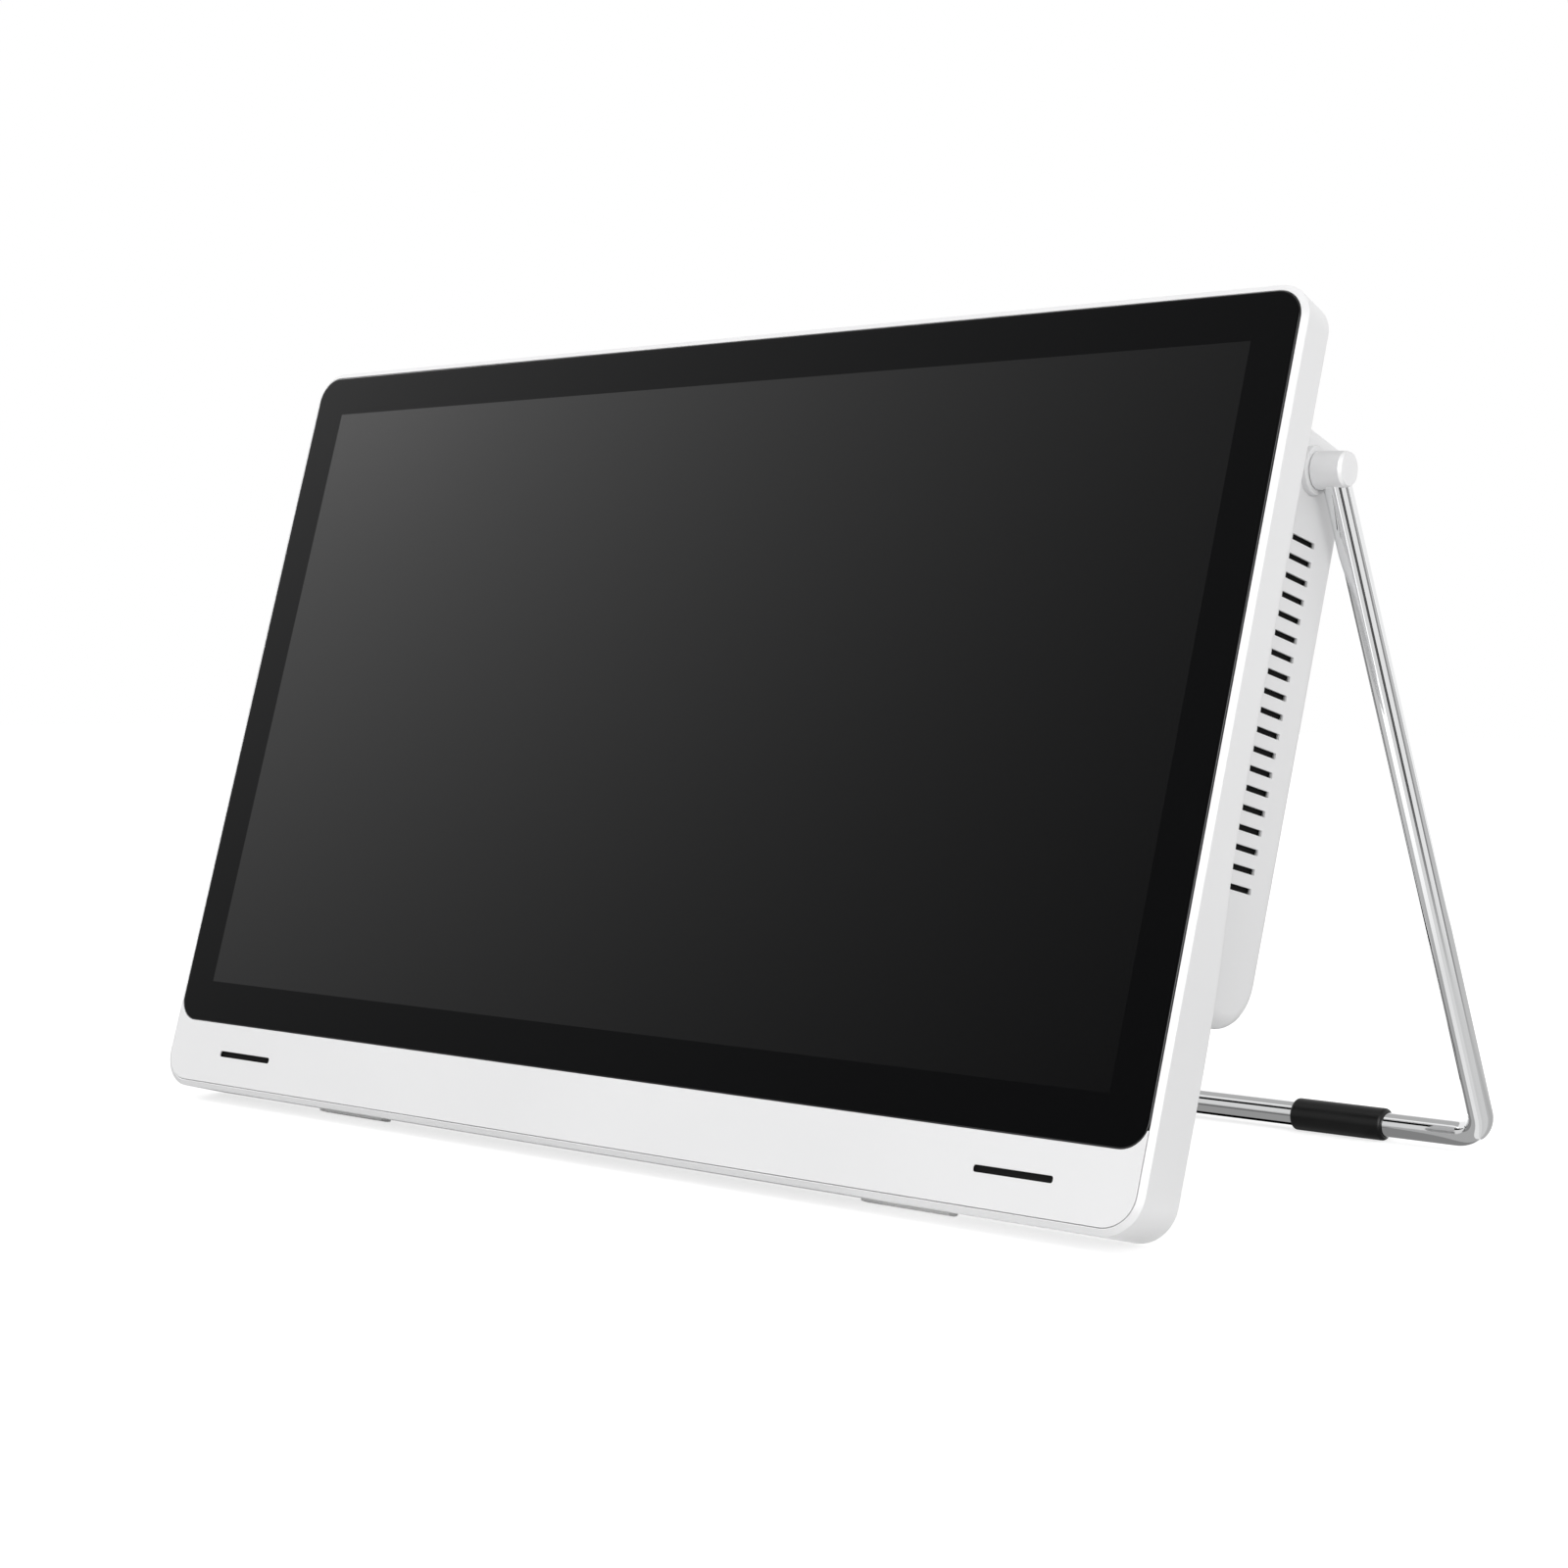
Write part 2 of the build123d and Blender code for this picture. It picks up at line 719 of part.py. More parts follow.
z_inlet = z_board_back - inlet_size[1] / 2
inlet = socket_block(inlet_x, inlet_size) - bored(inlet_x, z_inlet, inlet_bore_r, inlet_bore_l)
made["power_inlet"] = inlet + bored(inlet_x, z_inlet, inlet_pin_r, inlet_bore_l)
made["video_socket"] = plug_socket(video_x, video_size)
made["usb_sockets"] = Compound([plug_socket(x, usb_size) for x in usb_xs])
z_audio = z_board_back - audio_size[1] / 2
made["audio_socket"] = socket_block(audio_x, audio_size) - bored(audio_x, z_audio, audio_bore_r, audio_bore_l)

# Socket plate: a stamped insert in the lower wall with a cut-out for each socket
plate_x0 = audio_x - audio_size[0] / 2 - socket_plate_side
plate_x1 = inlet_x + inlet_size[0] / 2 + socket_plate_side
plate_z0 = z_board_back - inlet_size[1] - socket_plate_back
plate_z1 = z_board_back + socket_plate_front
sockets = block(plate_x0, plate_x1, housing_low, inner_low, plate_z0, plate_z1)
cuts = [(inlet_x, inlet_size), (video_x, video_size), (audio_x, audio_size)] + [(x, usb_size) for x in usb_xs]
for x, (w, tall) in cuts:
    half = w / 2 + socket_cut_gap
    sockets -= block(x - half, x + half, housing_low, inner_low,
                     z_board_back - tall - socket_cut_gap, z_board_back + socket_cut_gap)
made["socket_plate"] = sockets


# Rear cover: a flange that closes the frame, and the deep housing moulded with it
def housing(inset):
    """The solid form of the raised housing, drawn in by inset."""
    low, high, back = housing_low + inset, housing_high - inset, -housing_depth + inset
    face = Plane.YZ * (Pos((low + high) / 2, (back - over) / 2) * Rectangle(high - low, -back - over))
    form = Pos(-housing_half_w + inset, 0, 0) * extrude(face, 2 * (housing_half_w - inset), dir=(1, 0, 0))
    along = form.edges().filter_by(Axis.X).group_by(Axis.Z)[0].sort_by(Axis.Y)
    form = fillet(along[0], housing_low_r - inset)
    along = form.edges().filter_by(Axis.X).group_by(Axis.Z)[0].sort_by(Axis.Y)
    form = fillet(along[-1], housing_high_r - inset)
    ends = [f for f in form.faces() if abs(f.normal_at().X) > 0.9]
    front = form.faces().sort_by(Axis.Z)[-1]
    rim = [e for f in ends for e in f.edges() if e.center().Z < front.center().Z - housing_side_r / 2]
    return fillet(rim, housing_side_r - inset)


def at_root(edge):
    """Whether an edge lies where the housing rises from the flange."""
    at = edge.center()
    beyond_x = abs(at.X) - housing_half_w
    beyond_y = abs(at.Y - mount_centre_y) - housing_tall / 2
    on_flange = -depth_bottom - cover_gap < at.Z < -depth_top + cover_gap
    return on_flange and max(beyond_x, beyond_y) < cover_gap


housing_tall = housing_high - housing_low
cover = slab(outline(frame_wall + cover_gap), -depth_bottom - over, -over)
cover = cover - back_region(0)
cover += housing(0)
cover = fillet([e for e in cover.edges() if at_root(e)], housing_root_r)
cover = cover & back_region(cover_wall)
cover -= housing(cover_wall)
for x, y in cover_points:
    flange_back = -depth_top if y > swell_high else -depth_bottom
    cover += post(x, y, flange_back + cover_wall / 2, z_plate_back, cover_post_r)
    cover -= post(x, y, -big, -cover_seat_depth, cover_well_r)
    cover -= post(x, y, -big, 0, m3_hole_r)
for x, y in mount_points:
    cover -= post(x, y, -big, 0, mount_post_r + mount_gap)
for y in spread(vent_low, vent_high, vent_count):
    cover -= block(-housing_half_w - over, housing_half_w + over, y - vent_h / 2, y + vent_h / 2,
                   -vent_depth - vent_l / 2, -vent_depth + vent_l / 2)
for side in (-1, 1):
    x_out = side * (housing_half_w + over)
    cover -= axle(side * (housing_half_w - over), x_out, *pivot, bush_r + bush_gap)
cover -= block(plate_x0 - socket_plate_gap, plate_x1 + socket_plate_gap, housing_low - over,
               inner_low + over, plate_z0 - socket_plate_gap, plate_z1 + socket_plate_gap)
made["rear_cover"] = cover
made["cover_screws"] = Compound(
    [screw(x, y, -cover_seat_depth, cover_seat_depth + z_pan_back - screw_tip_gap) for x, y in cover_points]
)

# Dust screens inside the vents
inner_x = housing_half_w - cover_wall
screen = block(
    inner_x - vent_mesh_t, inner_x, vent_low - vent_mesh_margin, vent_high + vent_mesh_margin,
    -vent_depth - vent_l / 2 - vent_mesh_margin, -vent_depth + vent_l / 2 + vent_mesh_margin,
)
made["vent_screen_right"], made["vent_screen_left"] = both_sides(screen)

# Feet: soft strips let into the frame's lower edge, cut flat where they stand
foot_low = foot_roof - foot_set_in - foot_proud
floor_height = foot_low * math.cos(tilt) + foot_back * math.sin(tilt) + foot_cut
up = Vector(0, math.cos(tilt), math.sin(tilt))
floor_plane = Plane(origin=up * floor_height, z_dir=up)
feet = [split(foot_block(side), floor_plane, Keep.TOP) for side in (1, -1)]
made["foot_right"], made["foot_left"] = feet

# Bush: a plastic bearing pushed into the housing's wall, with its thick flange on the outside
bush_out = housing_half_w + bush_flange_t
bush = axle(housing_half_w, bush_out, *pivot, bush_flange_r)
bush = fillet(bush.edges().sort_by(Axis.X)[-1], bush_edge_r)
bush += axle(housing_half_w - bush_l, housing_half_w, *pivot, bush_r)
bush -= axle(housing_half_w - 2 * bush_l, bush_out + over, *pivot, hub_r + run_fit)
made["pivot_bush_right"], made["pivot_bush_left"] = both_sides(bush)

# Hinge bracket: a steel foot on the mid plate and an upright leaf that carries the shaft
leaf_face = Plane.YZ * (
    Pos(pivot_y, (-pivot_depth + z_plate_back) / 2) * Rectangle(leaf_w, pivot_depth + z_plate_back)
    + Pos(*pivot) * Circle(leaf_end_r)
)
leaf = Pos(leaf_x, 0, 0) * extrude(leaf_face, leaf_t, dir=(1, 0, 0))
leaf -= axle(leaf_x - over, leaf_x + leaf_t + over, *pivot, shaft_r + run_fit)
leaf += block(leaf_x - bracket_foot_l, leaf_x, pivot_y - leaf_w / 2, pivot_y + leaf_w / 2,
              z_plate_back - leaf_t, z_plate_back)
bracket_hole_x = leaf_x - bracket_foot_l + bracket_hole_in
bracket_points = [(bracket_hole_x, pivot_y + side * bracket_hole_pitch / 2) for side in (-1, 1)]
for x, y in bracket_points:
    leaf -= post(x, y, z_plate_back - leaf_t, z_plate_back, m3_hole_r)
made["hinge_bracket_right"], made["hinge_bracket_left"] = both_sides(leaf)
bracket_screws = [screw(x, y, z_plate_back - leaf_t, leaf_t) for x, y in bracket_points]
made["bracket_screws"] = Compound(bracket_screws + [mirror(s, Plane.YZ) for s in bracket_screws])

# Stand: where the crossbar touches the floor decides how far the legs open
pivot_height = pivot_y * math.cos(tilt) - pivot_depth * math.sin(tilt) - floor_height
leg_from_upright = math.acos((pivot_height - sleeve_r) / leg_l)
leg_angle = leg_from_upright + tilt
leg_dir = Vector(0, -math.cos(leg_angle), -math.sin(leg_angle))
pivot_at = Vector(0, *pivot)
bar_at = pivot_at + leg_dir * leg_l
top_at = pivot_at + leg_dir * socket_floor


def beside(point, x):
    """The point at another x."""
    return Vector(x, point.Y, point.Z)


corners = [beside(top_at, -leg_x), beside(bar_at, -leg_x), beside(bar_at, leg_x), beside(top_at, leg_x)]
path = FilletPolyline(*corners, radius=bend_r)
section = Plane(origin=path @ 0, z_dir=path % 0) * Circle(bar_r)
made["stand_bar"] = sweep(section, path)

# Rubber sleeves pushed over the crossbar
sleeve = axle(sleeve_x - sleeve_l / 2, sleeve_x + sleeve_l / 2, bar_at.Y, bar_at.Z, sleeve_r)
sleeve = fillet(sleeve.edges(), sleeve_edge_r)
sleeve -= axle(sleeve_x - sleeve_l, sleeve_x + sleeve_l, bar_at.Y, bar_at.Z, bar_r)
made["sleeve_right"], made["sleeve_left"] = both_sides(sleeve)

# Knuckle: a tapered cap that holds the bar's end, with the hub that turns in the bush
knuckle_in = bush_out + knuckle_gap
knuckle_shoulder = knuckle_end - knuckle_bevel_l
hub_in = knuckle_in - hub_l
knuckle = taper(knuckle_in, knuckle_shoulder, *pivot, knuckle_r, knuckle_tip_r)
knuckle += taper(knuckle_shoulder, knuckle_end, *pivot, knuckle_tip_r, knuckle_face_r)
knuckle += axle(hub_in, knuckle_in, *pivot, hub_r)
knuckle -= axle(hub_in, hub_in + shaft_in_hub, *pivot, shaft_r)
socket_plane = Plane(origin=beside(top_at, leg_x), z_dir=leg_dir)
knuckle -= extrude(socket_plane * Circle(bar_r + socket_gap), 2 * knuckle_r)
made["knuckle_right"], made["knuckle_left"] = both_sides(knuckle)

# Hinge shaft with its collar, friction discs and nut: they turn with the stand
shaft_out = hub_in + shaft_in_hub
shaft = axle(shaft_out - shaft_l, shaft_out, *pivot, shaft_r)
disc_out = leaf_x + leaf_t + disc_gap
shaft += axle(disc_out + disc_t, disc_out + disc_t + collar_l, *pivot, collar_r)
made["hinge_shaft_right"], made["hinge_shaft_left"] = both_sides(shaft)
disc_in = leaf_x - disc_gap
starts = [disc_out] + [disc_in - disc_t * (i + 1) for i in range(disc_count)]
discs = []
for x in starts:
    discs.append(axle(x, x + disc_t, *pivot, disc_r) - axle(x, x + disc_t, *pivot, shaft_r))
made["friction_discs_right"] = Compound(discs)
made["friction_discs_left"] = Compound([mirror(d, Plane.YZ) for d in discs])
nut_out = disc_in - disc_t * disc_count
nut_face = Plane.YZ * (Pos(*pivot) * RegularPolygon(nut_across / 2, 6, major_radius=False))
nut = Pos(nut_out - nut_l, 0, 0) * extrude(nut_face, nut_l, dir=(1, 0, 0))
nut -= axle(nut_out - nut_l, nut_out, *pivot, shaft_r)
made["hinge_nut_right"], made["hinge_nut_left"] = both_sides(nut)

# Buttons on the left edge: a rounded key, a lip inside the wall and a stem to its switch
for name, y in zip(("power_button", "volume_down_button", "volume_up_button"), button_ys):
    at = Pos(-frame_half_w - button_proud, y, -button_depth) * Rot(0, 90, 0) * Rot(0, 0, 90)
    lip_at = -wall_in + button_gap
    key = at * extrude(SlotOverall(button_l, button_w), frame_half_w + button_proud + lip_at)
    lip_y = button_l / 2 + button_lip_over
    lip_z = button_w / 2 + button_lip_over
    key += block(lip_at, lip_at + button_lip, y - lip_y, y + lip_y,
                 -button_depth - lip_z, -button_depth + lip_z)
    stem_at = lip_at + button_lip
    key += axle(stem_at, stem_at + button_stem, y, -button_depth, button_stem_r)
    made[name] = key
switches = block(-switch_board_x, -switch_board_x + board_t, switch_board_low, switch_board_high,
                 -button_depth - switch_board_w / 2, -button_depth + switch_board_w / 2)
for y in button_ys:
    switches += block(-switch_top_x, -switch_board_x, y - switch_side / 2, y + switch_side / 2,
                      -button_depth - switch_side / 2, -button_depth + switch_side / 2)
made["button_board"] = switches

# Lean the monitor back, and put the middle of its footprint on the origin
lean = Rot(90 - tilt_deg, 0, 0)
leaning = {name: lean * shape for name, shape in made.items()}
low_y = min(s.bounding_box().min.Y for s in leaning.values())
high_y = max(s.bounding_box().max.Y for s in leaning.values())
set_down = Pos(0, -(low_y + high_y) / 2, -floor_height)
os.makedirs("parts", exist_ok=True)
for name, shape in leaning.items():
    export_step(set_down * shape, f"parts/{name}.step")


def in_row(point):
    """Where a point of the screen's frame ends up, in metres."""
    at = (set_down * lean * Pos(point)).position
    return [round(v / 1000, 6) for v in (at.X, at.Y, at.Z)]


print("pivot", in_row(pivot_at))
print("bar", in_row(bar_at))
print("mount centre", in_row(Vector(0, mount_centre_y, -housing_depth)))
forwards = Vector(0, -math.sin(tilt), math.cos(tilt))
half_flat = foot_cut / math.sin(tilt) / 2
foot_flat_at = Vector(foot_x, foot_low, foot_back) + up * foot_cut + forwards * half_flat
print("foot's flat", in_row(foot_flat_at))
print("leg angle to the screen", round(math.degrees(leg_angle), 2))
print("set down", set_down.position, "floor", floor_height)
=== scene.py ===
import json
import math

import bmesh
import bpy
from mathutils import Matrix, Vector


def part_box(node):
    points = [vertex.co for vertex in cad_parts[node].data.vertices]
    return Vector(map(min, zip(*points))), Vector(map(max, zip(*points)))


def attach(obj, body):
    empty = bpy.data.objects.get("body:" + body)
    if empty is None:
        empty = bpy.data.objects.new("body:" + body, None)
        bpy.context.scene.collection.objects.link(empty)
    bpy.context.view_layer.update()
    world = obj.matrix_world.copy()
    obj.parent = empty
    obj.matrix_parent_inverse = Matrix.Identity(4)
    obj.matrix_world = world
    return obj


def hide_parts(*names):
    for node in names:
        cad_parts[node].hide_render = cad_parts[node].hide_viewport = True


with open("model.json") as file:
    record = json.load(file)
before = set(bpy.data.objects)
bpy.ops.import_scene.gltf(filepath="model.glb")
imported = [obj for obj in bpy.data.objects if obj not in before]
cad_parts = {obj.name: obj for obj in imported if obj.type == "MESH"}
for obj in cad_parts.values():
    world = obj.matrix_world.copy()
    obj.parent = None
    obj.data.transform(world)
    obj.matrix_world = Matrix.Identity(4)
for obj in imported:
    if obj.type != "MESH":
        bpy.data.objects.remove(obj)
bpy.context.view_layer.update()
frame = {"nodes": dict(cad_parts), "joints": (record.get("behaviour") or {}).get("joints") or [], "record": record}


# Cover glass. One flat sheet of hardened glass covers the whole front. A black border is printed
# on its back round the dark picture. It is drawn upright in mm, y up from the picture's lower edge
# and z out of the glass, and then leans back as packed; so is all of the display.
mm = 0.001
picture_w = 476.64
picture_h = 268.11
border_side = 17.6
border_top = 18.0
border_bottom = 18.2
glass_t = 2.0
glass_r = 10.5
glass_edge_rs = (0.2, 0.45)
glass_edge_in = 2.0
glass_half_w = picture_w / 2 + border_side
glass_low = -border_bottom
glass_high = picture_h + border_top

wall_mount = next(m for m in frame["record"]["mounts"] if m["name"] == "wall_mount")
tilt = math.atan2(-wall_mount["axis"][2], wall_mount["axis"][1])
sin_t = math.sin(tilt)
cos_t = math.cos(tilt)
glass_box_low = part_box("cover_glass")[0]
shift_y = glass_box_low.y - glass_low * sin_t * mm
shift_z = glass_box_low.z - (glass_low * cos_t - glass_t * sin_t) * mm
lean = Matrix((
    (mm, 0, 0, 0),
    (0, sin_t * mm, -cos_t * mm, shift_y),
    (0, cos_t * mm, sin_t * mm, shift_z),
    (0, 0, 0, 1),
))
corner_steps = 14
side_steps = 40
weld = 0.0005
sharp_deg = 32
flat_face_weight = 80
border_black = (0.0032, 0.0033, 0.0036)
picture_dark = (0.0022, 0.0023, 0.0026)
picture_ior = 1.9
polish_patch = 6.0
polish_least = 0.015
polish_more = 0.02


def arc(cx, cy, r, start_deg):
    """Points of a quarter circle, counter-clockwise, each with its outward direction."""
    points = []
    for i in range(corner_steps + 1):
        a = math.radians(start_deg + 90 * i / corner_steps)
        out = Vector((math.cos(a), math.sin(a)))
        points.append((Vector((cx, cy)) + r * out, out))
    return points


def round_path(half_w, low, high, r_low, r_high):
    """A rectangle with rounded corners as (point, outward direction), the lower left corner first."""
    arcs = [
        arc(-half_w + r_low, low + r_low, r_low, 180),
        arc(half_w - r_low, low + r_low, r_low, 270),
        arc(half_w - r_high, high - r_high, r_high, 0),
        arc(-half_w + r_high, high - r_high, r_high, 90),
    ]
    path = []
    for i in range(4):
        path += arcs[i]
        here, out = arcs[i][-1]
        there = arcs[(i + 1) % 4][0][0]
        path += [(here.lerp(there, k / side_steps), out) for k in range(1, side_steps)]
    return path


def softened(points, radii, steps):
    """A line of 2-D points whose inner corners are rounded by these radii."""
    line = [Vector(points[0])]
    for before, corner, after, r in zip(points, points[1:], points[2:], radii):
        before, corner, after = Vector(before), Vector(corner), Vector(after)
        into = (before - corner).normalized()
        onto = (after - corner).normalized()
        half = into.angle(onto) / 2
        if r <= 0:
            line.append(corner)
            continue
        centre = corner + (into + onto).normalized() * (r / math.sin(half))
        first = corner + into * (r / math.tan(half)) - centre
        last = corner + onto * (r / math.tan(half)) - centre
        for i in range(steps + 1):
            line.append(centre + first.slerp(last, i / steps).normalized() * r)
    line.append(Vector(points[-1]))
    return line


def loft(bm, rings, joined=True, round_about=True):
    """Faces between rings of points; the last ring also meets the first if joined."""
    made = [[bm.verts.new(p) for p in ring] for ring in rings]
    pairs = list(zip(made, made[1:]))
    if joined:
        pairs.append((made[-1], made[0]))
    for a, b in pairs:
        count = len(a) if round_about else len(a) - 1
        for i in range(count):
            j = (i + 1) % len(a)
            bm.faces.new((a[i], a[j], b[j], b[i]))
    return made


def capped(bm, rings):
    """A loft that is closed by a face at each end."""
    made = loft(bm, rings, joined=False)
    bm.faces.new(made[0])
    bm.faces.new(made[-1])


def into_object(name, bm, place=lean):
    """A clean object from a bmesh: welded, facing outwards, smooth but for its sharp edges."""
    bmesh.ops.remove_doubles(bm, verts=bm.verts, dist=weld)
    bmesh.ops.dissolve_degenerate(bm, edges=bm.edges, dist=weld / 5)
    made = bare_object(bm, place)
    made.name = made.data.name = name
    soften(made)
    return made


def bare_object(bm, place=lean):
    """A plain object from a bmesh, facing outwards and with no finish."""
    bmesh.ops.recalc_face_normals(bm, faces=bm.faces)
    mesh = bpy.data.meshes.new("tool")
    bm.to_mesh(mesh)
    bm.free()
    mesh.transform(place)
    made = bpy.data.objects.new("tool", mesh)
    bpy.context.scene.collection.objects.link(made)
    return made


def soften(piece):
    """Smooth shading with crisp edges, and flat faces that stay flat."""
    bm = bmesh.new()
    bm.from_mesh(piece.data)
    for face in bm.faces:
        face.smooth = True
    for edge in bm.edges:
        edge.smooth = edge.is_manifold and edge.calc_face_angle(0) < math.radians(sharp_deg)
    bm.to_mesh(piece.data)
    bm.free()
    weighted = piece.modifiers.new("even faces", "WEIGHTED_NORMAL")
    weighted.keep_sharp = True
    weighted.weight = flat_face_weight


def seat(piece, body, slot, material, *replaced):
    """Gives a piece its material, and its place among the parts."""
    piece.data.materials.clear()
    piece.data.materials.append(material)
    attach(piece, body)
    if replaced:
        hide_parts(*replaced)


def feed(tree, socket, value):
    """Gives an input its value: a plain one, or what another socket puts out."""
    if isinstance(value, bpy.types.NodeSocket):
        tree.links.new(value, socket)
    else:
        socket.default_value = value


def wire(tree, node, **values):
    """Gives a node's inputs their values by name."""
    for key, value in values.items():
        feed(tree, node.inputs[key.replace("_", " ")], value)


def node_of(tree, kind, **values):
    """A node with its settings and its inputs, both given by name."""
    made = tree.nodes.new(kind)
    for key, value in values.items():
        if key.replace("_", " ") in made.inputs:
            wire(tree, made, **{key: value})
        else:
            setattr(made, key, value)
    return made


def new_material(name, **principled):
    """A material with its Principled shader, whose inputs are given by name."""
    material = bpy.data.materials.new(name)
    material.use_nodes = True
    tree = material.node_tree
    shader = tree.nodes["Principled BSDF"]
    wire(tree, shader, **principled)
    return material, tree, shader


def new_tree(name, kind, inputs, outputs):
    """An empty node group with these sockets, and what goes into it and comes out of it."""
    tree = bpy.data.node_groups.new(name, kind)
    for side, sockets in (("INPUT", inputs), ("OUTPUT", outputs)):
        for socket, form in sockets.items():
            tree.interface.new_socket(socket, in_out=side, socket_type="NodeSocket" + form)
    return tree, tree.nodes.new("NodeGroupInput").outputs, tree.nodes.new("NodeGroupOutput").inputs


def make_screen_place():
    """Where a point lies in the screen's own frame: across, up from the picture's middle, and out."""
    outputs = {"Across": "Float", "Up": "Float", "Out": "Float"}
    tree, _, out = new_tree("screen place", "ShaderNodeTree", {}, outputs)
    place = tree.nodes.new("ShaderNodeTexCoord")
    turn = tilt - math.pi / 2
    middle = Matrix.Rotation(turn, 3, "X") @ (lean @ Vector((0, picture_h / 2, 0)))
    upright = node_of(
        tree, "ShaderNodeMapping", Vector=place.outputs["Object"], Rotation=(turn, 0, 0),
        Location=-middle,
    )
    split = node_of(tree, "ShaderNodeSeparateXYZ", Vector=upright.outputs["Vector"])
    for axis, name in zip("XYZ", outputs):
        feed(tree, out[name], split.outputs[axis])
    return tree


def make_grain():
    """Fine unevenness of a moulded or polished surface: a height, and a mask of slow variation."""
    tree, into, out = new_tree(
        "fine grain", "ShaderNodeTree",
        {"Fineness": "Float", "Patch size": "Float"}, {"Height": "Float", "Patches": "Float"},
    )
    place = tree.nodes.new("ShaderNodeTexCoord").outputs["Object"]
    fine = node_of(
        tree, "ShaderNodeTexNoise", Vector=place, Scale=into["Fineness"], Detail=3.0, Roughness=0.6
    )
    slow = node_of(
        tree, "ShaderNodeTexNoise", Vector=place, Scale=into["Patch size"], Detail=2.0, Roughness=0.5
    )
    feed(tree, out["Height"], fine.outputs["Fac"])
    feed(tree, out["Patches"], slow.outputs["Fac"])
    return tree


screen_place = make_screen_place()
grain = make_grain()


def placed(tree, group, **values):
    """A node group put into a material, with its inputs given by name."""
    made = tree.nodes.new("ShaderNodeGroup")
    made.node_tree = group
    wire(tree, made, **values)
    return made


def maths(tree, operation, *values):
    """What a Math node makes of its values, each a number or a socket."""
    made = node_of(tree, "ShaderNodeMath", operation=operation)
    for socket, value in zip(made.inputs, values):
        feed(tree, socket, value)
    return made.outputs["Value"]


def two_tones(tree, mask, low, high):
    """One colour where the mask is 0 and the other where it is 1; each a colour or a socket."""
    made = node_of(tree, "ShaderNodeMix", data_type="RGBA")
    for index, value in ((0, mask), (6, low), (7, high)):
        feed(tree, made.inputs[index], (*value, 1) if isinstance(value, tuple) else value)
    return made.outputs[2]


def screen_glass():
    """Black printed border, with the picture inside it, whose layers mirror the room once more."""
    material, tree, shader = new_material(
        "screen glass", IOR=1.5, Coat_IOR=picture_ior, Coat_Roughness=0.06
    )
    place = placed(tree, screen_place)
    inside = []
    for name, half in (("Across", picture_w / 2 * mm), ("Up", picture_h / 2 * mm)):
        size = maths(tree, "ABSOLUTE", place.outputs[name])
        inside.append(maths(tree, "LESS_THAN", size, half))
    picture = maths(tree, "MULTIPLY", *inside)
    polish = placed(tree, grain, Patch_size=polish_patch).outputs["Patches"]
    wire(
        tree, shader, Coat_Weight=picture,
        Base_Color=two_tones(tree, picture, border_black, picture_dark),
        Roughness=maths(tree, "MULTIPLY_ADD", polish, polish_more, polish_least),
    )
    return material


def sheet_of_glass():
    path = round_path(glass_half_w, glass_low, glass_high, glass_r, glass_r)
    edge = softened(
        [(glass_edge_in, -glass_t), (0, -glass_t), (0, 0), (glass_edge_in, 0)], glass_edge_rs, steps=5
    )
    bm = bmesh.new()
    capped(bm, [
        [(p.x - out.x * inset, p.y - out.y * inset, z) for p, out in path] for inset, z in edge
    ])
    return into_object("cover_glass_sheet", bm)


cover_glass = sheet_of_glass()
seat(cover_glass, "display", "screen_glass", screen_glass(), "cover_glass")


# Tape, touch film and dust gasket. Black foam tape holds the glass to the frame, a clear film with
# a fine grid of conductors lies on the back of the glass, and a foam gasket keeps dust out.
foam_tones = ((0.012, 0.012, 0.012), (0.03, 0.03, 0.03))
film_tone = (0.42, 0.44, 0.45)
conductor_tone = (0.30, 0.27, 0.22)
conductor_pitch = 5.0
conductor_w = 0.12
noise_span = (0.3, 0.7)


def grained(tree, shader, fineness, depth, rough, patch, tones=None):
    """Puts the fine grain on a material: a bump, a roughness range and, if given, two tones."""
    group = placed(tree, grain, Fineness=fineness, Patch_size=patch)
    patches = group.outputs["Patches"]
    bump = node_of(tree, "ShaderNodeBump", Height=group.outputs["Height"], Distance=depth, Strength=1.0)
    span = node_of(
        tree, "ShaderNodeMapRange", Value=patches,
        From_Min=noise_span[0], From_Max=noise_span[1], To_Min=rough[0], To_Max=rough[1],
    )
    wire(tree, shader, Normal=bump.outputs["Normal"], Roughness=span.outputs["Result"])
    if tones:
        wire(tree, shader, Base_Color=two_tones(tree, patches, *tones))
    return patches


def plain_finish(name, tones, rough, fineness=1200.0, depth=0.00002, patch=20.0, **principled):
    """A finish with fine grain, two close tones and a range of roughness."""
    material, tree, shader = new_material(name, **principled)
    grained(tree, shader, fineness, depth, rough, patch, tones)
    return material


def dress(material, *names):
    """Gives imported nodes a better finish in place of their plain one."""
    for name in names:
        for slot in frame["nodes"][name].material_slots:
            slot.material = material


def lines_on(tree, place, name, pitch, width):
    """A mask of thin lines across one direction of the screen."""
    turns = maths(tree, "MULTIPLY", place.outputs[name], 1 / (pitch * mm))
    return maths(tree, "LESS_THAN", maths(tree, "FRACT", turns), width / pitch)


def gridded_film():
    material, tree, shader = new_material("touch film", Roughness=0.08, Coat_Weight=0.6)
    place = placed(tree, screen_place)
    lines = [lines_on(tree, place, name, conductor_pitch, conductor_w) for name in ("Across", "Up")]
    grid = maths(tree, "MAXIMUM", *lines)
    wire(tree, shader, Base_Color=two_tones(tree, grid, film_tone, conductor_tone))
    return material


foam = plain_finish("black foam", foam_tones, rough=(0.85, 0.95), fineness=2600.0, depth=0.00008)
dress(foam, "glass_tape", "panel_gasket")
dress(gridded_film(), "touch_sensor")


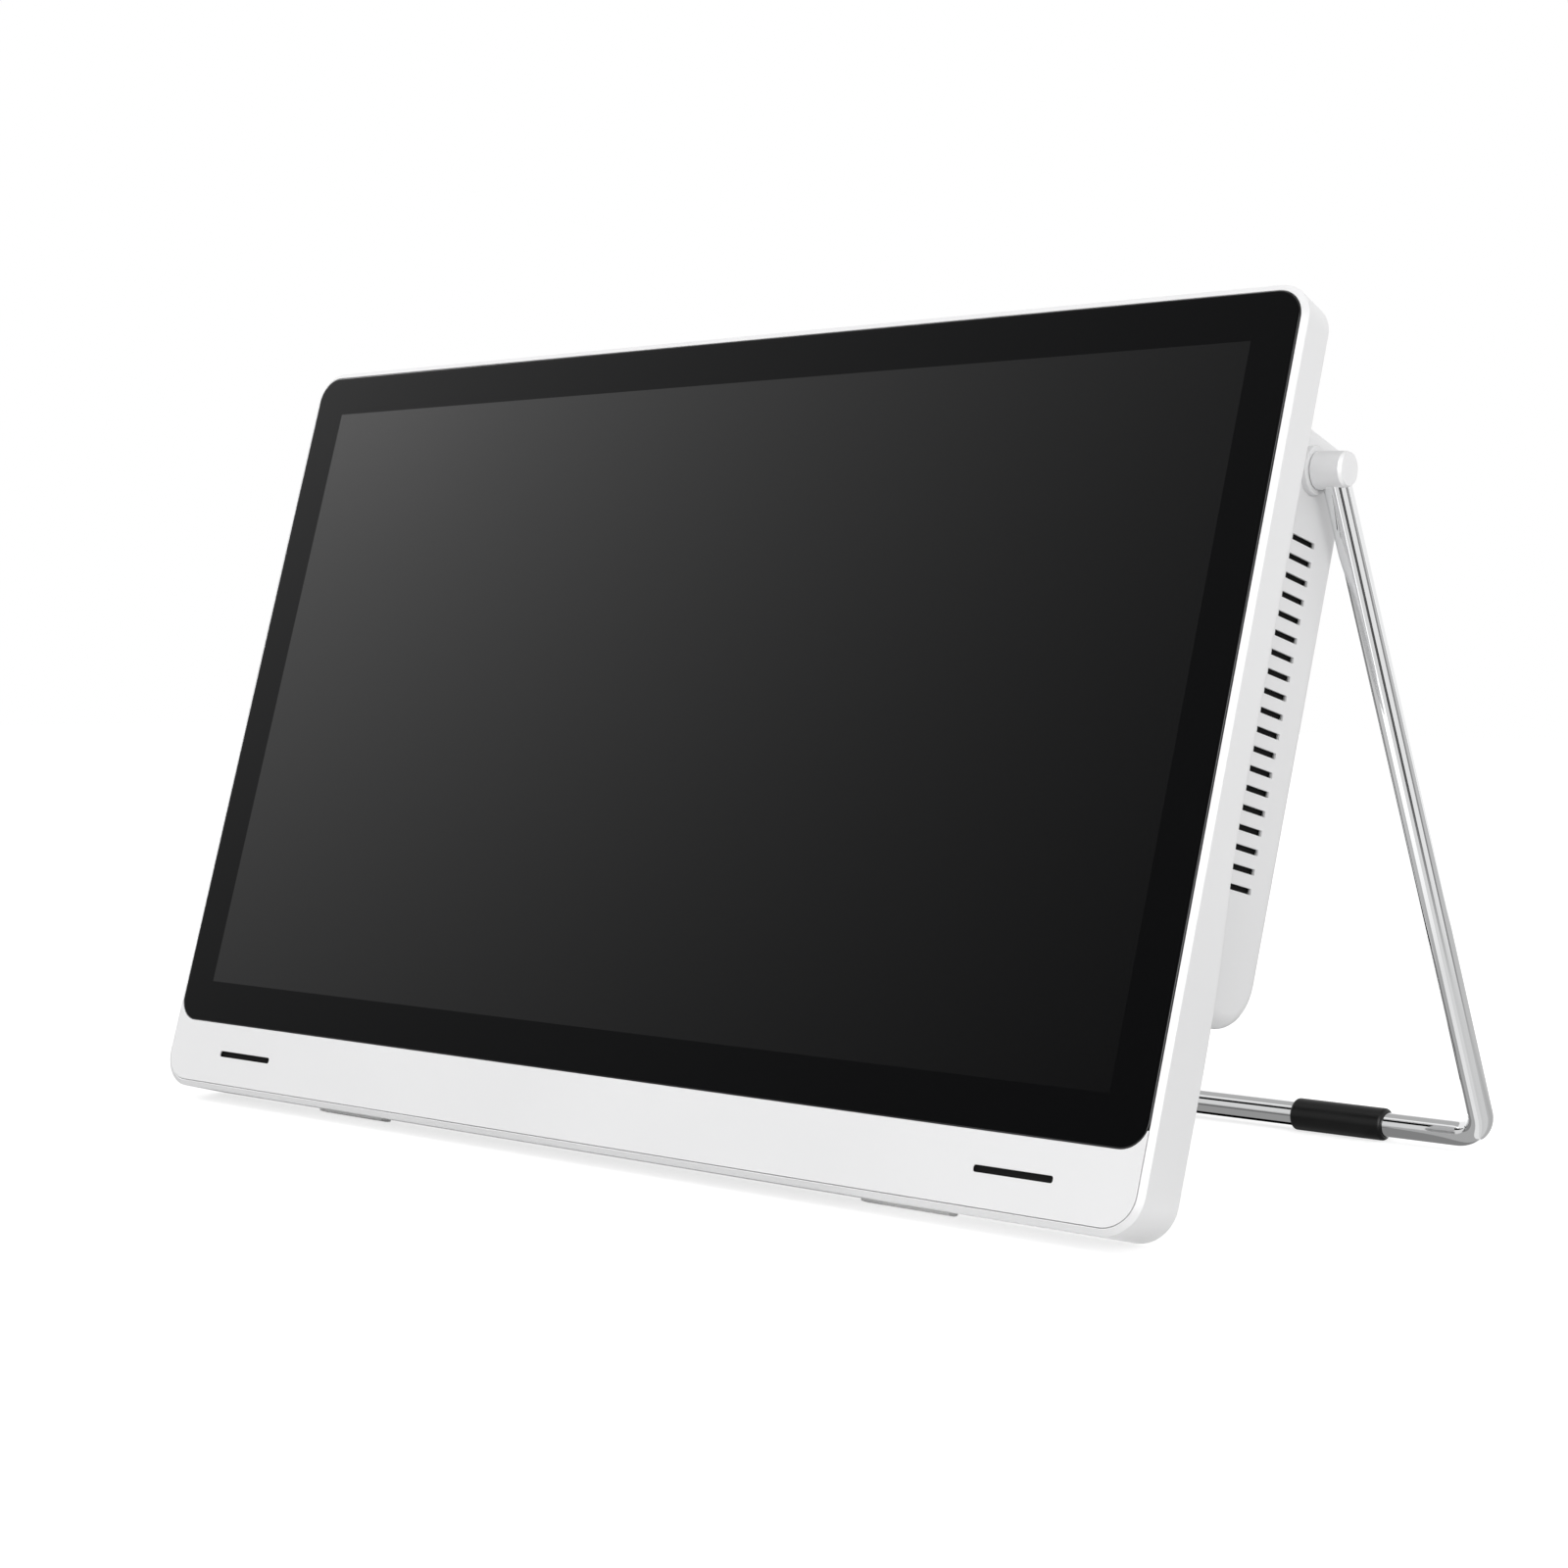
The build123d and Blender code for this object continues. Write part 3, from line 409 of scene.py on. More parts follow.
# Display module. The liquid-crystal cell, diffuser films, light guide and LED bar are stacked
# loose in a folded steel pan, which the frame holds behind the glass.
steel_tones = ((0.50, 0.51, 0.52), (0.64, 0.65, 0.66))
cell_tones = ((0.010, 0.011, 0.013), (0.014, 0.015, 0.017))
diffuser_tones = ((0.84, 0.84, 0.84), (0.90, 0.90, 0.90))
acrylic_tone = (0.80, 0.83, 0.85)
dot_tone = (0.93, 0.94, 0.94)
dots_per_m = 700.0
dot_r = 0.28
led_pitch = 7.0
led_l = 3.5
strip_tone = (0.78, 0.78, 0.74)
phosphor_tone = (0.90, 0.72, 0.18)


def dotted_acrylic():
    """Polished clear sheet with the white dots that spread the light."""
    material, tree, shader = new_material("dotted acrylic", Roughness=0.06, IOR=1.49, Coat_Weight=0.5)
    place = tree.nodes.new("ShaderNodeTexCoord").outputs["Object"]
    dots = node_of(tree, "ShaderNodeTexVoronoi", Vector=place, Scale=dots_per_m, Randomness=0.15)
    mask = maths(tree, "LESS_THAN", dots.outputs["Distance"], dot_r)
    wire(tree, shader, Base_Color=two_tones(tree, mask, acrylic_tone, dot_tone))
    return material


def led_strip():
    material, tree, shader = new_material("LED strip", Roughness=0.35)
    mask = lines_on(tree, placed(tree, screen_place), "Across", led_pitch, led_l)
    wire(tree, shader, Base_Color=two_tones(tree, mask, strip_tone, phosphor_tone))
    return material


plated_steel = plain_finish(
    "zinc-plated sheet", steel_tones, rough=(0.30, 0.46),
    fineness=500.0, depth=0.00001, patch=45.0, Metallic=1.0,
)
laminated = plain_finish(
    "laminated cell", cell_tones, rough=(0.10, 0.14), IOR=1.52, Coat_Weight=1.0,
)
dress(laminated, "lcd_cell")
white_films = plain_finish("matt white films", diffuser_tones, rough=(0.60, 0.75))
dress(white_films, "diffuser_films")
dress(dotted_acrylic(), "light_guide")
dress(led_strip(), "led_bar")
dress(plated_steel, "panel_pan")


# Front frame. One white moulding carries everything: a bevel round the glass that shines as a
# bright line, a side wall with a little draft, and a back edge that thickens towards the bottom.
rim_w = 2.6
rim_drop = 1.7
chin_h = 29.9
chin_r = 12.6
frame_wall = 3.0
shelf_in = 8.5
shelf_back = -3.8
tape_back = -2.3
draft = math.tan(math.radians(2.5))
depth_top = 18.3
depth_bottom = 26.1
swell_high = 125.0
swell_low = 8.0
frame_edge_rs = (0.3, 0.5, 1.4, 0.3, 0, 0)
glass_gap = 0.2
frame_half_w = glass_half_w + glass_gap + rim_w
frame_high = glass_high + glass_gap + rim_w
frame_low = glass_low - chin_h
button_ys = (34.0, 52.0, 64.0)
button_l = 9.0
button_w = 3.2
button_gap = 0.15
button_depth = 9.5
foot_x = 150.0
foot_l = 40.0
foot_w = 6.0
foot_from_back = 2.2
foot_set_in = 0.5
tool_past = 5.0
slot_steps = 10
shell_tones = ((0.80, 0.80, 0.805), (0.83, 0.83, 0.835))


def back_at(y):
    """How far back the frame's rear edge lies at a height: straight, two gentle arcs, straight."""
    half = (swell_high - swell_low) / 2
    rise = (depth_bottom - depth_top) / 2
    r = (half * half + rise * rise) / (2 * rise)
    if y >= swell_high:
        return -depth_top
    if y <= swell_low:
        return -depth_bottom
    if y > swell_low + half:
        return -depth_top - (r - math.sqrt(r * r - (swell_high - y) ** 2))
    return -depth_bottom + (r - math.sqrt(r * r - (y - swell_low) ** 2))


def frame_section(y):
    """The frame's section at a height, as (inset from the outline, z)."""
    back = back_at(y)
    return softened(
        [
            (rim_w, tape_back), (rim_w, 0), (0, -rim_drop), ((-back - rim_drop) * draft, back),
            (frame_wall, back), (frame_wall, shelf_back), (shelf_in, shelf_back), (shelf_in, tape_back),
        ],
        frame_edge_rs, steps=6,
    )


def outline_path():
    return round_path(frame_half_w, frame_low, frame_high, chin_r + rim_w, glass_r + glass_gap + rim_w)


def combine(piece, tools, operation="DIFFERENCE"):
    """Cuts tools out of a piece, or joins them to it, and removes them."""
    for tool in tools:
        work = piece.modifiers.new("tool", "BOOLEAN")
        work.operation = operation
        work.object = tool
        work.solver = "EXACT"
    bake_modifiers(piece)
    for tool in tools:
        bpy.data.objects.remove(tool)


def bake_modifiers(piece):
    """Turns what the modifiers make into the piece's own mesh."""
    bpy.context.view_layer.update()
    evaluated = piece.evaluated_get(bpy.context.evaluated_depsgraph_get())
    made = bpy.data.meshes.new_from_object(evaluated)
    piece.modifiers.clear()
    piece.data = made
    soften(piece)


def box_cutter(low, high, place=lean):
    """A plain box between two corners, used as a tool."""
    bm = bmesh.new()
    bmesh.ops.create_cube(bm, size=1)
    for v in bm.verts:
        v.co = [a + (b - a) * (c + 0.5) for a, b, c in zip(low, high, v.co)]
    return bare_object(bm, place)


def solid_tool(rings):
    """A plain solid through rings of points, used as a tool."""
    bm = bmesh.new()
    capped(bm, rings)
    return bare_object(bm)


def slot_shape(l, w):
    """Points round a slot with half-round ends, its length along the first axis."""
    r = w / 2
    points = []
    for side in (1, -1):
        for i in range(slot_steps + 1):
            a = math.radians(-90 + 180 * i / slot_steps)
            points.append(Vector((side * (l / 2 - r + r * math.cos(a)), side * r * math.sin(a))))
    return points


def white_moulding(name, tones):
    """Glossy white plastic: a faint orange peel and a slightly uneven polish."""
    return plain_finish(
        name, tones, rough=(0.28, 0.36),
        fineness=900.0, depth=0.00002, patch=14.0, Specular_IOR_Level=0.5, IOR=1.5,
    )


white_shell = white_moulding("white moulding", shell_tones)


def front_moulding():
    bm = bmesh.new()
    path = outline_path()
    sections = [frame_section(p.y) for p, out in path]
    rings = []
    for k in range(len(sections[0])):
        ring = []
        for (p, out), section in zip(path, sections):
            inset, z = section[k]
            ring.append((p.x - out.x * inset, p.y - out.y * inset, z))
        rings.append(ring)
    loft(bm, rings)
    made = into_object("front_frame_moulding", bm)
    around = slot_shape(button_l + 2 * button_gap, button_w + 2 * button_gap)
    through = (-frame_half_w - tool_past, -frame_half_w + tool_past)
    cutters = []
    for y in button_ys:
        ring = [(y + p.x, -button_depth + p.y) for p in around]
        cutters.append(solid_tool([[(x, *spot) for spot in ring] for x in through]))
    foot_back = -depth_bottom + foot_from_back
    roof = frame_low - rim_drop * draft - (foot_back + foot_w) * draft + foot_set_in
    for side in (-1, 1):
        x0, x1 = side * foot_x - foot_l / 2, side * foot_x + foot_l / 2
        cutters.append(box_cutter((x0, roof - tool_past, foot_back), (x1, roof, foot_back + foot_w)))
    combine(made, cutters)
    return made


front_frame = front_moulding()
seat(front_frame, "display", "white_shell", white_shell, "front_frame")


# Chin panel. A bare white fascia is let into the frame below the glass, with a thin seam round it
# and a slot for each speaker. Black acoustic cloth lies behind the slots.
chin_gap = 0.2
chin_t = 2.0
chin_horn = 7.35
slot_x = glass_half_w - 50.2
slot_y = glass_low - 13.6
slot_l = 33.4
slot_h = 2.6
slot_r = 1.0
slot_wall = 0.7
slot_pocket = 1.2
chin_edge_r = 0.22
chin_edge_deg = 50


def break_edges(piece, width, segments=3, angle_deg=40):
    """Rounds a piece's sharp edges."""
    rounding = piece.modifiers.new("edges", "BEVEL")
    rounding.width = width * mm
    rounding.segments = segments
    rounding.limit_method = "ANGLE"
    rounding.angle_limit = math.radians(angle_deg)
    bake_modifiers(piece)


def fascia():
    half_w = frame_half_w - rim_w - chin_gap
    low = frame_low + rim_w + chin_gap
    r = chin_r - chin_gap
    top = glass_low + chin_horn
    glass_x = glass_half_w - glass_r
    glass_y = glass_low + glass_r
    cut_r = glass_r + glass_gap
    start = math.asin((glass_y - top) / cut_r)
    points = [p for p, out in arc(-half_w + r, low + r, r, 180)]
    points += [p for p, out in arc(half_w - r, low + r, r, 270)]
    points.append(Vector((half_w, top)))
    for x, first in ((glass_x, -start), (-glass_x, math.pi * 1.5)):
        for i in range(corner_steps + 1):
            a = first + (start - math.pi / 2) * i / corner_steps
            points.append(Vector((x + cut_r * math.cos(a), glass_y + cut_r * math.sin(a))))
    points.append(Vector((-half_w, top)))
    bm = bmesh.new()
    capped(bm, [[(p.x, p.y, z) for p in points] for z in (-chin_t, 0)])
    made = into_object("chin_fascia", bm)
    around = [p for p, out in round_path(slot_l / 2, -slot_h / 2, slot_h / 2, slot_r, slot_r)]
    through = (-chin_t - tool_past, tool_past)
    reach = Vector((slot_l / 2 + slot_pocket, slot_h / 2 + slot_pocket))
    cutters = []
    for side in (-1, 1):
        middle = Vector((side * slot_x, slot_y))
        cutters.append(solid_tool([[(*(middle + p), z) for p in around] for z in through]))
        cutters.append(box_cutter((*(middle - reach), through[0]), (*(middle + reach), -slot_wall)))
    combine(made, cutters)
    made.modifiers.clear()
    break_edges(made, chin_edge_r, angle_deg=chin_edge_deg)
    return made


chin = fascia()
seat(chin, "display", "white_shell", white_shell, "chin_panel")


# Speakers. A strip of black acoustic cloth is glued behind each slot, and a closed box with the
# driver is screwed behind the chin on each side.
# woven() lays these two tones by the threads' height: painted shade in the hollows of the weave.
cloth_tones = ((0.006, 0.006, 0.006), (0.016, 0.016, 0.016))
cloth_threads = 1.6
cloth_edge_r = 0.12
thread_relief = 0.00015
flat_limit = math.radians(1)
plastic_tones = ((0.020, 0.020, 0.021), (0.034, 0.034, 0.036))


def woven(name, tones, threads_per_mm):
    """Plain-woven black cloth: threads that pass over and under each other, darker where they dip as painted
    shade.
    """
    material, tree, shader = new_material(name, Roughness=0.95, Specular_IOR_Level=0.1)
    place = placed(tree, screen_place)
    waves = []
    for axis in ("Across", "Up", "Out"):
        turns = maths(tree, "MULTIPLY", place.outputs[axis], threads_per_mm / mm * math.pi)
        waves.append(maths(tree, "ABSOLUTE", maths(tree, "SINE", turns)))
    height = maths(tree, "MAXIMUM", maths(tree, "MULTIPLY", waves[0], waves[1]), waves[2])
    bump = node_of(tree, "ShaderNodeBump", Height=height, Distance=thread_relief, Strength=0.8)
    # The tone follows the threads' height, darker in the hollows: painted shade.
    wire(tree, shader, Normal=bump.outputs["Normal"], Base_Color=two_tones(tree, height, *tones))
    return material


def round_off(node, name, body, slot, material, width, segments=3):
    """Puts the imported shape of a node, its edges broken, in the place of the node."""
    bm = bmesh.new()
    bm.from_mesh(frame["nodes"][node].data)
    bmesh.ops.remove_doubles(bm, verts=bm.verts, dist=weld * mm)
    bmesh.ops.dissolve_limit(bm, verts=bm.verts, edges=bm.edges, angle_limit=flat_limit)
    made = bare_object(bm, Matrix.Identity(4))
    made.name = name
    break_edges(made, width, segments)
    seat(made, body, slot, material, node)
    return made


black_plastic = plain_finish(
    "textured black plastic", plastic_tones, rough=(0.45, 0.6), fineness=1800.0, depth=0.00005,
)
acoustic_cloth = woven("acoustic cloth", cloth_tones, cloth_threads)
for side in ("right", "left"):
    round_off(
        f"speaker_cloth_{side}", f"acoustic_cloth_{side}", "display", "speaker_cloth",
        acoustic_cloth, cloth_edge_r, 2,
    )
dress(black_plastic, "speaker_right", "speaker_left")


# Buttons. Three white moulded keys stand in slots of the left edge, each with a lip that keeps it
# in the wall and a stem on its switch. The switches sit on a narrow board inside.
key_edge_r = 0.35
key_tones = ((0.78, 0.78, 0.785), (0.82, 0.82, 0.825))
mask_tones = ((0.010, 0.085, 0.040), (0.018, 0.130, 0.062))
trace_tone = (0.045, 0.22, 0.11)
chip_tone = (0.018, 0.018, 0.019)
can_tone = (0.30, 0.31, 0.33)
tall_tone = (0.035, 0.040, 0.055)
trace_scale = 420.0
trace_w = 0.06
solder_proud = 0.05
board_back = -29.2
chip_high = 3.1
can_high = 8.5


def circuit(name, parts_from):
    """Green solder mask with paler tracks; what stands behind the board has its own colours."""
    material, tree, shader = new_material(name)
    patches = grained(tree, shader, fineness=1500.0, depth=0.00001, rough=(0.28, 0.42), patch=60.0)
    place = placed(tree, screen_place)
    spot = tree.nodes.new("ShaderNodeTexCoord").outputs["Object"]
    tracks = node_of(
        tree, "ShaderNodeTexVoronoi", feature="DISTANCE_TO_EDGE", Vector=spot, Scale=trace_scale,
        Randomness=0.55,
    )
    track = maths(tree, "LESS_THAN", tracks.outputs["Distance"], trace_w)
    colour = two_tones(tree, track, two_tones(tree, patches, *mask_tones), trace_tone)
    for tone, above in ((chip_tone, solder_proud), (can_tone, chip_high), (tall_tone, can_high)):
        behind = maths(tree, "LESS_THAN", place.outputs["Out"], (parts_from - above) * mm)
        colour = two_tones(tree, behind, colour, tone)
    wire(tree, shader, Base_Color=colour)
    return material


white_key = plain_finish("white key", key_tones, rough=(0.24, 0.32), fineness=900.0, depth=0.00001)
for key in ("power", "volume_down", "volume_up"):
    round_off(f"{key}_button", f"{key}_cap", f"{key}_key", "white_button", white_key, key_edge_r)
dress(circuit("switch board", board_back), "button_board")


# Mid plate and posts. A zinc-plated steel sheet is screwed by its ears to the frame and carries
# the rest: turned posts for the boards, and four long ones with threads for a wall bracket.
head_r = 2.6
head_h = 1.8
head_edge_rs = (1.1, 0.1)
shank_r = 1.45
axis_r = 0.01
thread_pitch = 0.5
thread_d = 0.16
cross_l = 3.0
cross_w = 0.75
cross_d = 1.1
screw_steps = 24
to_metres = Matrix.Scale(mm, 4)
screw_seed = 4
post_edge_r = 0.45
brass_tones = ((0.56, 0.42, 0.17), (0.66, 0.51, 0.23))
screw_tones = ((0.14, 0.14, 0.145), (0.22, 0.22, 0.225))


def solids_of(node):
    """The box of each separate solid of a node, in the screen's frame."""
    bm = bmesh.new()
    bm.from_mesh(frame["nodes"][node].data)
    bmesh.ops.remove_doubles(bm, verts=bm.verts, dist=weld * mm)
    bm.transform(lean.inverted())
    left = set(bm.verts)
    boxes = []
    while left:
        found = [left.pop()]
        for vert in found:
            for edge in vert.link_edges:
                other = edge.other_vert(vert)
                if other in left:
                    left.remove(other)
                    found.append(other)
        low = Vector([min(v.co[i] for v in found) for i in range(3)])
        high = Vector([max(v.co[i] for v in found) for i in range(3)])
        boxes.append((low, high))
    bm.free()
    return sorted(boxes, key=lambda box: tuple(round(c, 2) for c in box[0]))


def lathe(name, profile, centre, axis=Vector((1, 0, 0)), steps=64):
    """A turned piece: (along, radius) points in millimetres, swept round an axis through centre."""
    bm = bmesh.new()
    u = Vector((0, 1, 0)) if abs(axis.y) < 0.9 else Vector((1, 0, 0))
    u = (u - axis * u.dot(axis)).normalized()
    v = axis.cross(u)
    turn = [2 * math.pi * k / steps for k in range(steps)]
    rings = []
    for along, r in profile:
        middle = centre / mm + axis * along
        rings.append([middle + (u * math.cos(a) + v * math.sin(a)) * r for a in turn])
    loft(bm, rings, joined=True)
    return into_object(name, bm, to_metres)


def one_screw(shank_l):
    """A pan-head screw with rolled thread and a cross recess, its seat at the origin."""
    dome = softened(
        [(-head_h, axis_r), (-head_h, head_r), (0, head_r), (0, shank_r)], head_edge_rs, steps=4
    )
    turns = int(shank_l / thread_pitch)
    for k in range(turns):
        dome += [((k + 0.5) * thread_pitch, shank_r), ((k + 1) * thread_pitch, shank_r - thread_d)]
    dome += [(shank_l, shank_r - thread_d), (shank_l, axis_r)]
    screw = lathe("tool", dome, Vector((0, 0, 0)), Vector((0, 0, 1)), screw_steps)
    arms = []
    for a, b in ((cross_l / 2, cross_w / 2), (cross_w / 2, cross_l / 2)):
        arms.append(box_cutter((-a, -b, -head_h - tool_past), (a, b, cross_d - head_h), to_metres))
    combine(screw, arms)
    screw.modifiers.clear()
    return screw


def end_tree(tree, out, geometry, finish):
    """Ends a tree: copies made real, and the finish put on."""
    real = node_of(tree, "GeometryNodeRealizeInstances", Geometry=geometry)
    skin = node_of(tree, "GeometryNodeSetMaterial", Geometry=real.outputs["Geometry"], Material=finish)
    feed(tree, out["Geometry"], skin.outputs["Geometry"])


def screw_tree(finish):
    """Copies of one screw on points of the upright screen, each turned at random, then leant back."""
    tree, into, out = new_tree(
        "screws in place", "GeometryNodeTree",
        {"Geometry": "Geometry", "Screw": "Object", "Seed": "Int", "Lean": "Vector", "Shift": "Vector"},
        {"Geometry": "Geometry"},
    )
    screw = node_of(tree, "GeometryNodeObjectInfo", Object=into["Screw"])
    spin = node_of(tree, "FunctionNodeRandomValue", data_type="FLOAT", Seed=into["Seed"])
    spin.inputs[3].default_value = 2 * math.pi
    angles = node_of(tree, "ShaderNodeCombineXYZ", Z=spin.outputs[1])
    copies = node_of(
        tree, "GeometryNodeInstanceOnPoints", Points=into["Geometry"],
        Instance=screw.outputs["Geometry"], Rotation=angles.outputs["Vector"],
    )
    leant = node_of(
        tree, "GeometryNodeTransform", Geometry=copies.outputs["Instances"],
        Rotation=into["Lean"], Translation=into["Shift"],
    )
    end_tree(tree, out, leant.outputs["Geometry"], finish)
    return tree


def run_tree(piece, tree, **values):
    """Runs a tree on a piece with its inputs given by name, and keeps what it makes."""
    made = piece.modifiers.new("tree", "NODES")
    made.node_group = tree
    for key, value in values.items():
        socket = next(s for s in tree.interface.items_tree if s.name == key.replace("_", " "))
        made[socket.identifier] = value
    bake_modifiers(piece)


screw_steel = plain_finish(
    "blackened steel", screw_tones, rough=(0.30, 0.42), fineness=1500.0, depth=0.00001, Metallic=1.0,
)
screws_in_place = screw_tree(screw_steel)


def drive_screws(node, name):
    """Puts a detailed screw where each plain one of a node is."""
    places = solids_of(node)
    low, high = places[0]
    screw = one_screw(high.z - low.z - head_h)
    mesh = bpy.data.meshes.new("points")
    seats = [Vector(((a.x + b.x) / 2, (a.y + b.y) / 2, a.z + head_h)) * mm for a, b in places]
    mesh.from_pydata(seats, [], [])
    made = bpy.data.objects.new(name, mesh)
    bpy.context.scene.collection.objects.link(made)
    run_tree(
        made, screws_in_place, Screw=screw, Seed=screw_seed,
        Lean=Vector((math.pi / 2 - tilt, 0, 0)), Shift=Vector((0, shift_y, shift_z)),
    )
    bpy.data.objects.remove(screw)
    seat(made, "display", "screw_steel", screw_steel, node)


dress(plated_steel, "mid_plate")
drive_screws("plate_screws", "plate_pan_screws")
drive_screws("board_screws", "board_pan_screws")
brass = plain_finish(
    "turned brass", brass_tones, rough=(0.22, 0.34), fineness=1500.0, depth=0.00001, Metallic=1.0,
)
dress(brass, "board_posts")
round_off("mount_posts", "wall_mount_posts", "display", "plated_steel", plated_steel, post_edge_r)


# Circuit boards. The main board with its finned heat sink, the power board and the touch board are
# screwed to the posts, and the narrow panel board is fixed flat on the plate.
panel_board_back = -11.5
fin_tones = ((0.62, 0.63, 0.64), (0.76, 0.77, 0.78))
dress(circuit("circuit board", board_back), "main_board", "power_board", "touch_board")
dress(circuit("panel circuit board", panel_board_back), "panel_board")
aluminium = plain_finish(
    "extruded aluminium", fin_tones, rough=(0.30, 0.44), fineness=700.0, depth=0.00001, Metallic=1.0,
)
dress(aluminium, "heat_sink")


# Cables. The panel cable and the power cable run between the boards, each a bundle of wires in a
# braided black sleeve with its plugs on the boards.
sleeve_threads = 0.9
# Laid by the threads' height as well: painted shade in the braid's hollows.
braid_tones = ((0.012, 0.012, 0.013), (0.05, 0.05, 0.055))
dress(woven("braided sleeve", braid_tones, sleeve_threads), "panel_cable", "power_cable")


# Sockets. They stand on the lower edge of the main board and look down through a black plate that
# is clipped into the housing: power, video, two for data and one for sound.
plate_edge_r = 0.3
socket_edge_r = 0.12
tin_tones = ((0.62, 0.62, 0.61), (0.74, 0.74, 0.73))
tinned = plain_finish(
    "tinned shell", tin_tones, rough=(0.20, 0.32), fineness=1500.0, depth=0.00001, Metallic=1.0,
)
round_off(
    "socket_plate", "socket_plate_insert", "display", "black_plastic", black_plastic, plate_edge_r
)
for node, slot, finish in (
    ("power_inlet", "black_plastic", black_plastic), ("audio_socket", "black_plastic", black_plastic),
    ("video_socket", "socket_steel", tinned), ("usb_sockets", "socket_steel", tinned),
):
    round_off(node, f"{node}_shell", "display", slot, finish, socket_edge_r, 2)


# Hinges. A folded steel bracket on the mid plate carries each shaft, which a stack of friction
# discs and a nut clamp, so that the stand stays where it is put.
hinge_tones = ((0.30, 0.30, 0.31), (0.42, 0.42, 0.43))
bracket_edge_r = 0.4
nut_edge_r = 0.35
hinge_steel = plain_finish(
    "oiled steel", hinge_tones, rough=(0.24, 0.36), fineness=900.0, depth=0.00001, Metallic=1.0,
)
for side in ("right", "left"):
    bracket, nut = f"hinge_bracket_{side}", f"hinge_nut_{side}"
    round_off(bracket, f"{bracket}_folded", "display", "plated_steel", plated_steel, bracket_edge_r)
    round_off(nut, f"{nut}_hexagon", "stand", "hinge_steel", hinge_steel, nut_edge_r)
    dress(hinge_steel, f"hinge_shaft_{side}", f"friction_discs_{side}")
drive_screws("bracket_screws", "bracket_pan_screws")


# Rear cover. A flange closes the frame, and the deep housing for the electronics is moulded with
# it: radii at its back, a soft fillet at its root, and a column of vent slots in each side wall.
cover_wall = 2.2
cover_in = frame_wall + 0.15
housing_half_w = frame_half_w - 15.3
housing_low = frame_low + 82.2
housing_high = frame_high - 34.6
housing_depth = 76.0
housing_low_r = 20.0
housing_high_r = 10.0
housing_side_r = 6.0
housing_root_r = 2.5
vent_count = 19
vent_pitch = 7.14
vent_below_pivot = 25.6
vent_l = 16.0
vent_h = 2.2
vent_depth = 50.4
vent_turn_deg = 5.3
vent_wall = 0.8
vent_pocket = 1.5
pivot_y = housing_high - 16.3
pivot_depth = 47.5
vent_high = pivot_y - vent_below_pivot
bush_r = 7.5
bush_gap = 0.15
mount_pitch = 100.0
mount_y = (housing_low + housing_high) / 2
mount_post_r = 4.5
mount_gap = 0.2
cover_screw_x = picture_w / 2 - 48.3
cover_screw_ys = (0.0, picture_h - 2.1)
cover_well_r = 3.0
cover_post_r = 4.6
cover_seat_depth = depth_top - 1.9
plate_back = -10.3
plate_gap = 0.2
cover_front = -5.0
cover_edge_r = 0.3
cover_inner_edge_r = 0.02
cover_hole_r = 1.6
mount_hole_in = 8.0
edge_steps = 3
flange_steps = 22
root_steps = 6
bend_steps = 16
wall_steps = 6
back_steps = 30
hole_steps = 48
axle_steps = 64
# The rear cover's white is a darker copy of the frame's white: painted shade on the housing.
rear_painted_shade_tones = ((0.765, 0.765, 0.77), (0.795, 0.795, 0.80))


def cover_skin(bm, inner):
    """One skin of the cover, moved inwards by inner; gives back its front ring."""
    outer = outline_path()
    foot_path = round_path(
        housing_half_w - inner, housing_low + inner, housing_high - inner,
        housing_side_r - inner, housing_side_r - inner,
    )
    root = housing_root_r + inner
    rings = []
    inset = cover_in + inner
    rings.append([(p.x - o.x * inset, p.y - o.y * inset, cover_front) for p, o in outer])
    edge = cover_inner_edge_r if inner else cover_edge_r
    for k in range(edge_steps + 1):
        a = math.radians(90 * k / edge_steps)
        ring = []
        for p, o in outer:
            i = inset + edge * (1 - math.cos(a))
            ring.append((p.x - o.x * i, p.y - o.y * i, back_at(p.y) + inner + edge * (1 - math.sin(a))))
        rings.append(ring)
    inset += edge
    for k in range(1, flange_steps):
        ring = []
        for (p, o), (q, u) in zip(outer, foot_path):
            there = q + u * root
            at = (p - o * inset).lerp(there, k / flange_steps)
            ring.append((at.x, at.y, back_at(at.y) + inner))
        rings.append(ring)
    for k in range(root_steps + 1):
        a = math.radians(90 * k / root_steps)
        ring = []
        for q, u in foot_path:
            at = q + u * (root * (1 - math.sin(a)))
            ring.append((at.x, at.y, back_at(at.y) + inner - root * (1 - math.cos(a))))
        rings.append(ring)
    made = loft(bm, rings, joined=False)
    housing_skin(bm, inner, foot_path)
    return made[0]


